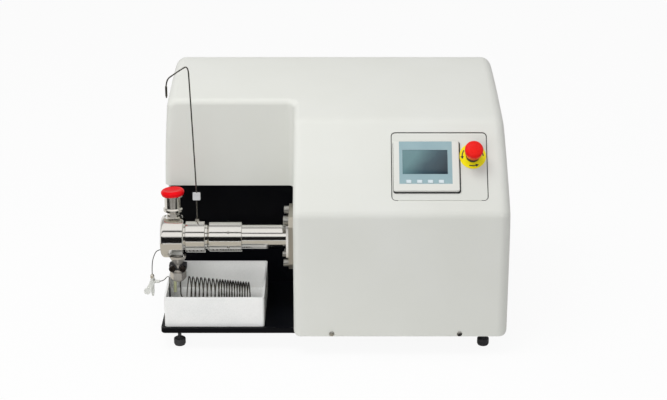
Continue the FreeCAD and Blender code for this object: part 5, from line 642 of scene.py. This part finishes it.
@dataclass
class EmergencyStop:
    """Red mushroom head over a yellow disc with black turning arrows."""

    across: float = 303.0
    up: float = 136.0
    disc_top: float = -0.5
    head_radius: float = 20.0
    head_top: float = 46.0
    head_height: float = 16.0
    stem: float = 5.1
    stem_depth: float = 9.3
    skirt: float = 9.0
    skirt_root: float = 6.0
    skirt_inside: float = 5.0
    skirt_outside: float = 1.6
    dome: tuple[tuple[float, float], ...] = (
        (0.8, -3.0), (0.2, 4.0), (0.0, 6.5), (0.0, 9.0), (0.9, 11.2), (3.4, 13.6), (8.0, 15.2), (13.0, 15.8))
    arrow_tails: tuple[float, ...] = (145, 250, 0)
    arrow_sweep: float = 38.0
    arrow_lead: float = 42.0
    arrow_inner: float = 21.6
    arrow_outer: float = 24.0
    arrow_point: float = 4.4
    ink_below: float = 0.05
    ink_above: float = 0.06

    def build(self) -> None:
        """Makes the head and the printed arrows."""
        low = self.head_top - self.head_height
        rim, deep, skirt_low = self.head_radius, low + self.stem_depth, low - self.skirt
        head = Workshop.turned([
            (self.stem, deep), (self.stem, low), (rim - self.skirt_root, low),
            (rim - self.skirt_inside, skirt_low), (rim - self.skirt_outside, skirt_low),
            *((rim - inset, low + rise) for inset, rise in self.dome),
            (0, self.head_top), (0, deep), (self.stem, deep)], edge=0.35)
        Workshop.settle(head, on_face(self.across, self.up, 0))
        Workshop.hand_over(head, "mushroom_head", Finishes.RED_SIGNAL, "stop_button_head", "stop_mushroom")
        arrows = [piece for tail in self.arrow_tails for piece in self.arrow(tail)]
        Workshop.hand_over(Workshop.joined(arrows), "turning_arrows", Finishes.BLACK_PLASTIC, "machine")

    def arrow(self, tail: float) -> list[bpy.types.Object]:
        """Prints one bent arrow on the disc.

        Args:
            tail: Where its tail starts, in degrees round the disc.

        Returns:
            Its shaft and its point.
        """
        low, high = self.disc_top - self.ink_below, self.disc_top + self.ink_above
        inner, outer = self.arrow_inner, self.arrow_outer
        disc = on_face(self.across, self.up, 0)
        shaft = Workshop.turned([(inner, low), (outer, low), (outer, high), (inner, high), (inner, low)],
                                steps=10, sweep=self.arrow_sweep)
        Workshop.settle(shaft, disc @ Matrix.Rotation(math.radians(tail + self.arrow_sweep), 4, "Z"))
        point = Workshop.prism(3, self.arrow_point, high - low, 0)
        lead = Matrix.Rotation(math.radians(tail + self.arrow_lead), 4, "Z")
        Workshop.settle(point, disc @ lead @ Matrix.Translation(((inner + outer) / 2 * MM, 0, low * MM)))
        return [shaft, point]


@dataclass(frozen=True)
class FaceSheet:
    """Thin plate that lies on the leaning face."""

    width: float
    height: float
    thickness: float
    corner: float
    edge: float
    across: float
    up: float
    out: float

    def build(self) -> bpy.types.Object:
        """Cuts the plate and lays it in place."""
        sheet = Workshop.plate(self.width, self.height, self.thickness, self.corner, self.edge)
        return Workshop.settle(sheet, on_face(self.across, self.up, self.out))


@dataclass
class OperatorPanel:
    """Dark strip painting the shade in the gap round the recessed panel, a dark sheet under the bezel
    painting its shadow, and the display's glass with a painted sheen.
    """

    across: float = 230.0
    up: float = 112.0
    width: float = 210.0
    height: float = 159.0
    corner: float = 10.0
    play: float = 0.1
    # width, depth and sinking of the dark strip that paints the shade in the gap round the panel
    shade_band: float = 1.9
    shade_band_depth: float = 1.2
    shade_band_sink: float = -3.6
    cut: float = 8.0
    cut_corner: float = 0.5
    # painted shadow: a dark rubber sheet under the bezel, reaching further out on the right and at the
    # bottom, so that beyond the real gasket it shows as the bezel's shadow
    bezel_shadow_gasket: FaceSheet = FaceSheet(width=146.5, height=120.0, thickness=0.7, corner=5.5, edge=0.1,
                                  across=202.6, up=109.8, out=-1.99)
    glass: FaceSheet = FaceSheet(width=97.8, height=55.8, thickness=0.5, corner=1.2, edge=0.15,
                                 across=198.7, up=120.0, out=4.12)
    glass_gloss: float = 0.16
    glass_coat: float = 0.2
    glass_span: float = 0.1
    slant: tuple[float, float, float] = (1.0, 0.0, -0.9)
    unevenness: float = 0.25
    start: float = 0.25
    # colours of the glass's painted sheen, from the lit upper left to the shaded lower right
    glass_sheen_tones: tuple[tuple[float, tuple[int, int, int]], ...] = (
        (0.0, (96, 130, 134)), (0.45, (56, 79, 89)), (0.95, (30, 46, 57)))

    def build(self) -> None:
        """Makes the strip of painted shade in the panel's gap, the bezel's painted-shadow sheet and the
        glass.
        """
        # painted shade: a dark strip lies in the gap round the panel, where shade falls
        shade_strip = Workshop.plate(self.width - self.play, self.height - self.play, self.shade_band_depth,
                               self.corner, 0)
        hole = Workshop.plate(self.width - 2 * self.shade_band, self.height - 2 * self.shade_band, self.cut,
                              self.corner - self.shade_band, 0)
        below = -self.cut / 2 * MM
        Workshop.drill(shade_strip, Workshop.settle(hole, Matrix.Translation((0, 0, below))))
        # its lower run is cut away, where light falls into the gap
        lit_bottom_cut = Workshop.plate(self.width - 3 * self.corner, self.cut, self.cut, self.cut_corner, 0)
        Workshop.drill(shade_strip, Workshop.settle(lit_bottom_cut, Matrix.Translation((0, -self.height / 2 * MM, below))))
        Workshop.settle(shade_strip, on_face(self.across, self.up, self.shade_band_sink))
        Workshop.hand_over(shade_strip, "panel_gap_painted_shade", Finishes.RUBBER, "machine")
        # dark sheet that paints the bezel's shadow, down and to the right
        Workshop.hand_over(self.bezel_shadow_gasket.build(), "gasket_with_painted_shadow", Finishes.RUBBER, "machine")
        glass = self.glass.build()
        Workshop.hand_over(glass, "display_glass", Finishes.OVERLAY, "machine")
        glass.data.materials[0] = self.glass_with_painted_sheen()

    def glass_with_painted_sheen(self) -> bpy.types.Material:
        """Builds the glass with a painted sheen: grey-green at the upper left, towards the lamps, deep
        blue-grey at the lower right.

        Returns:
            The display's material.
        """
        surface = bpy.data.materials.new("display_glass_painted_sheen")
        surface.use_nodes = True
        tree = surface.node_tree
        place = added(tree, "TexCoord", {})
        turn = tree.nodes.new("ShaderNodeMapping")
        turn.vector_type = "TEXTURE"
        feed(tree, turn, {"Vector": place.outputs["Object"], "Scale": (self.glass_span,) * 3,
                          "Location": on_face(self.glass.across, self.glass.up, 0).translation})
        # painted sheen: lighter towards the upper left, darker towards the lower right
        slant = tree.nodes.new("ShaderNodeVectorMath")
        slant.operation = "DOT_PRODUCT"
        feed(tree, slant, {0: turn.outputs["Vector"], 1: self.slant})
        grain = added(tree, "TexNoise", {"Vector": turn.outputs["Vector"], "Scale": 3.0})
        blend = math_node(tree, "MULTIPLY_ADD", grain.outputs["Fac"], self.unevenness, slant.outputs["Value"])
        share = math_node(tree, "ADD", blend, self.start)
        colour = graded(tree, share, [(position, tone(*steps)) for position, steps in self.glass_sheen_tones])
        feed(tree, tree.nodes["Principled BSDF"], {"Base Color": colour, "Roughness": self.glass_gloss,
                                                   "Coat Weight": self.glass_coat})
        return surface


@dataclass
class CoverSkin:
    """Moulded cover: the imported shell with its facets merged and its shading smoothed."""

    merge: float = 0.00002
    flat_within: float = 0.05
    smooth_to: float = 32.0

    def build(self) -> None:
        """Copies the shell, merges its corners and shades it as one moulding."""
        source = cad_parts["cover"]
        skin = source.copy()
        skin.data = source.data.copy()
        for key in list(skin.keys()):
            del skin[key]
        skin.parent = None
        bpy.context.scene.collection.objects.link(skin)
        Workshop.alone(skin)
        bpy.ops.object.mode_set(mode="EDIT")
        bpy.ops.mesh.select_all(action="SELECT")
        bpy.ops.mesh.customdata_custom_splitnormals_clear()
        bpy.ops.mesh.remove_doubles(threshold=self.merge)
        bpy.ops.mesh.dissolve_limited(angle_limit=math.radians(self.flat_within))
        bpy.ops.object.mode_set(mode="OBJECT")
        bpy.ops.object.shade_smooth_by_angle(angle=math.radians(self.smooth_to))
        even = skin.modifiers.new("even_normals", "WEIGHTED_NORMAL")
        even.keep_sharp = True
        bpy.ops.object.modifier_apply(modifier=even.name)
        Workshop.hand_over(skin, "cover_moulding", Finishes.SHELL, "machine", "cover")


CAD_FINISHES = {
    Finishes.SHELL: ("cover", "screen_housing"),
    Finishes.TRAY: ("tray",),
    Finishes.POLISHED: ("pump_head", "head_collar", "ring_nut", "barrel"),
    Finishes.UPRIGHT: ("inlet_neck", "line_fittings"),
    Finishes.MACHINED: ("interaction_chamber", "chamber_nut"),
    Finishes.CAPILLARY: ("spout", "cooling_coil", "thin_lines"),
    Finishes.PLATED: ("fixings", "flange_screws", "rear_panel", "inlet_ball", "outlet_ball", "piston"),
    Finishes.MILLED: ("flange_plate",),
    Finishes.BLACK_SHEET: ("bay_liner", "base_plate"),
    Finishes.BLACK_PLASTIC: ("chamber_clamp", "power_entry", "fan_frame", "fan_rotor", "dip_sleeve",
                             "foot_left_front", "foot_left_rear", "foot_right_front", "foot_right_rear",
                             "stop_housing", "electrical_cases"),
    Finishes.RUBBER: ("screen_gasket",),
    Finishes.RED_CAP: ("inlet_cap", "power_rocker"),
    Finishes.RED_SIGNAL: ("stop_mushroom",),
    Finishes.YELLOW: ("stop_legend",),
    Finishes.PANEL: ("panel_plate",),
    Finishes.OVERLAY: ("screen_overlay",),
    Finishes.KEY: ("key_1", "key_2", "key_3", "key_4"),
    Finishes.DARK_TRIM: ("display",),
    Finishes.CAST: ("drive_frame", "hydraulic_cylinder", "valve_block", "stop_stem"),
    Finishes.BLUE_PAINT: ("motor", "oil_system"),
    Finishes.BRONZE: ("rotor", "idler_gear"),
    Finishes.CERAMIC: ("plunger",),
    Finishes.SEAL: ("seal_pack",),
    Finishes.CLEAR: ("riser_clip",),
    Finishes.MILKY: ("stopcock_body", "stopcock_handle"),
    Finishes.SOFT_TUBE: ("drain_tube",),
}


def dress_frame() -> None:
    """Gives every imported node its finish."""
    for finish, names in CAD_FINISHES.items():
        for name in names:
            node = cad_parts[name]
            if not node.data.materials:
                node.data.materials.append(finish.material())
            for place in node.material_slots:
                place.material = finish.material()
    dressed = {name for names in CAD_FINISHES.values() for name in names}
    log.info("nodes without a finish: %s", sorted(set(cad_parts) - dressed))


ROOM_IN_MIRROR = (
    (0.0, 0.6), (0.25, 0.5), (0.44, 0.45), (0.452, 0.008), (0.538, 0.008), (0.55, 1.0), (0.613, 1.0),
    (0.618, 0.03), (0.638, 0.03), (0.643, 1.0), (0.752, 0.95), (0.76, 0.42), (0.86, 0.40), (0.885, 0.75),
    (1.0, 0.85))
# Bands of the floor's painted reflection, by angle round the inlet neck.
NECK_STRIPES = ((0.0, 0.95), (0.14, 0.95), (0.16, 0.02), (0.45, 0.03), (0.48, 0.85), (1.0, 0.9))


@dataclass
class Studio:
    """White sweep, soft lamps, a dark room in front for the metal to mirror, and the camera."""

    camera_place: tuple[float, float, float] = (0.0, -3322.0, 1576.7)
    camera_pitch: float = 20.0
    lens: float = 89.06
    sensor: float = 36.0
    sweep_front: float = -0.86
    sweep_reach: float = 6.0
    sweep_width: float = 8.0
    paper: tuple[float, float, float] = (0.84, 0.84, 0.83)
    paper_glow: float = 0.93
    mirrored_tone: tuple[int, int, int] = (196, 190, 178)
    mirrored_reach: float = 0.6
    ambient: float = 0.5
    ambient_blue: float = 1.02
    lamp_aim: tuple[float, float, float] = (0.0, -0.1, 0.3)
    spot_power: float = 14.0
    spot_angle: float = 5.4
    spot_blend: float = 0.8
    spot_source: float = 0.03
    spot_way: tuple[float, float, float] = (0.0, -1.81, 0.84)
    tray_back: tuple[float, float] = (253.0, 100.0)

    def build(self) -> None:
        """Builds the sweep, the world, the lamps and the camera."""
        self.world()
        self.sweep()
        self.lamp("key_lamp", (-0.75, -0.9, 2.9), 1.5, 42.0)
        self.lamp("front_lamp", (-0.9, -3.0, 1.0), 1.6, 21.0)
        self.tray_spot("tray_spot_left", -318.0)
        self.tray_spot("tray_spot_right", -206.0)
        self.camera()
        bpy.context.scene.view_settings.view_transform = "Standard"

    def lamp(self, name: str, place: tuple[float, float, float], size: float, power: float) -> None:
        """Adds a square soft lamp that faces the machine.

        Args:
            name: The lamp's name.
            place: Where it hangs, from the middle of the machine's footprint.
            size: Length of its side.
            power: Its power in watts.
        """
        data = bpy.data.lights.new(name, "AREA")
        data.size = size
        data.energy = power
        self.hang(name, data, Vector(place), Vector(self.lamp_aim))

    def tray_spot(self, name: str, x: float) -> None:
        """Adds a narrow spot that reaches under the pump to the tray's inner back wall.

        Args:
            name: The spot's name.
            x: Where it points across the machine, in millimetres from the cover's middle.
        """
        data = bpy.data.lights.new(name, "SPOT")
        data.energy = self.spot_power
        data.spot_size = math.radians(self.spot_angle)
        data.spot_blend = self.spot_blend
        data.shadow_soft_size = self.spot_source
        aim = at(x, *self.tray_back)
        self.hang(name, data, aim + Vector(self.spot_way), aim)

    def hang(self, name: str, data: bpy.types.Light, place: Vector, aim: Vector) -> None:
        """Hangs a light where polished metal doesn't mirror it.

        Args:
            name: The light's name.
            data: The light.
            place: Where it hangs.
            aim: The point that it faces.
        """
        light = bpy.data.objects.new(name, data)
        bpy.context.scene.collection.objects.link(light)
        light.location = place
        light.rotation_euler = (aim - place).to_track_quat("-Z", "Y").to_euler()
        light.visible_glossy = False

    def camera(self) -> None:
        """Adds the camera at the photograph's place."""
        data = bpy.data.cameras.new("photo_camera")
        data.lens = self.lens
        data.sensor_width = self.sensor
        camera = bpy.data.objects.new("photo_camera", data)
        bpy.context.scene.collection.objects.link(camera)
        camera.location = at(*self.camera_place)
        camera.rotation_euler = (math.radians(90 - self.camera_pitch), 0, 0)
        bpy.context.scene.camera = camera

    def world(self) -> None:
        """White behind everything for the eye, and a studio with a dark front for mirrors."""
        world = bpy.data.worlds.new("studio_room")
        bpy.context.scene.world = world
        world.use_nodes = True
        tree = world.node_tree
        tree.nodes.clear()
        rays = added(tree, "LightPath", {})
        place = added(tree, "TexCoord", {})
        axes = added(tree, "SeparateXYZ", {"Vector": place.outputs["Generated"]})
        front = math_node(tree, "MULTIPLY", axes.outputs["Y"], -1.0)
        angle = math_node(tree, "ARCTAN2", axes.outputs["Z"], front)
        share = math_node(tree, "MULTIPLY_ADD", angle, 0.5 / math.pi, 0.5)
        mirrored = graded(tree, share, [(position, warm_grey(grey)) for position, grey in ROOM_IN_MIRROR])
        room = added(tree, "MixRGB", {"Fac": rays.outputs["Is Glossy Ray"], "Color2": mirrored,
                                      "Color1": (self.ambient, self.ambient,
                                                 self.ambient * self.ambient_blue, 1)})
        seen = math_node(tree, "MAXIMUM", rays.outputs["Is Camera Ray"], rays.outputs["Is Transmission Ray"])
        view = added(tree, "MixRGB", {"Fac": seen, "Color1": room.outputs["Color"], "Color2": (1, 1, 1, 1)})
        light = added(tree, "Background", {"Color": view.outputs["Color"]})
        added(tree, "OutputWorld", {"Surface": light.outputs["Background"]})

    def sweep(self) -> None:
        """Lays the pale floor, which looks white to the eye and keeps the machine's shadow."""
        bpy.ops.object.select_all(action="DESELECT")
        middle = (self.sweep_front + self.sweep_reach) / 2
        bpy.ops.mesh.primitive_plane_add(size=1, location=(0, middle, 0))
        floor = bpy.context.object
        floor.name = "sweep"
        floor.scale = (self.sweep_width, self.sweep_reach - self.sweep_front, 1)
        bpy.ops.object.transform_apply(location=True, rotation=False, scale=True)
        paper = bpy.data.materials.new("sweep_paper")
        paper.use_nodes = True
        tree = paper.node_tree
        tree.nodes.clear()
        rays = added(tree, "LightPath", {})
        matt = added(tree, "BsdfDiffuse", {"Color": (*self.paper, 1)})
        # painted reflection: glossy rays see the floor glowing in this colour instead of its lit paper
        mirrored = added(tree, "Emission", {"Color": self.floor_in_mirror(tree)})
        either = added(tree, "MixShader", {"Fac": rays.outputs["Is Glossy Ray"], 1: matt.outputs["BSDF"],
                                           2: mirrored.outputs["Emission"]})
        share = math_node(tree, "MULTIPLY", rays.outputs["Is Camera Ray"], self.paper_glow)
        glow = added(tree, "Emission", {})
        mix = added(tree, "MixShader", {"Fac": share, 1: either.outputs["Shader"],
                                        2: glow.outputs["Emission"]})
        added(tree, "OutputMaterial", {"Surface": mix.outputs["Shader"]})
        floor.data.materials.append(paper)

    def floor_in_mirror(self, tree: bpy.types.NodeTree) -> bpy.types.NodeSocket:
        """Gives the floor's painted reflection, the colour that only polished metal sees there: grey near by,
        striped further off.

        Args:
            tree: The floor's node tree.

        Returns:
            The socket of that colour.
        """
        neck = at(InletCap.centre_x, PUMP_Y, 0)
        place = added(tree, "TexCoord", {})
        axes = added(tree, "SeparateXYZ", {"Vector": place.outputs["Object"]})
        right = math_node(tree, "SUBTRACT", axes.outputs["X"], float(neck.x))
        ahead = math_node(tree, "MULTIPLY_ADD", axes.outputs["Y"], -1.0, float(neck.y))
        aside = math_node(tree, "ABSOLUTE", right)
        angle = math_node(tree, "ARCTAN2", aside, ahead)
        share = math_node(tree, "MULTIPLY", angle, 1 / math.pi)
        stripes = graded(tree, share, [(position, warm_grey(grey)) for position, grey in NECK_STRIPES])
        across = math_node(tree, "MULTIPLY", right, right)
        along = math_node(tree, "MULTIPLY", ahead, ahead)
        distance = math_node(tree, "ADD", across, along)
        far = math_node(tree, "GREATER_THAN", distance, self.mirrored_reach ** 2)
        blend = added(tree, "MixRGB", {"Fac": far, "Color1": (*tone(*self.mirrored_tone), 1),
                                       "Color2": stripes})
        return blend.outputs["Color"]


def main() -> None:
    """Builds the picture: the studio first, then each sub-assembly's dress."""
    logging.basicConfig(level=logging.INFO, format="%(message)s")
    Studio().build()
    dress_frame()
    for assembly in (CoverSkin(), InletCap(), Spout(), FineLines(), ChamberClamp(), LevellingFeet(),
                     OperatorPanel(), EmergencyStop()):
        assembly.build()


if __name__ == "__main__":
    main()
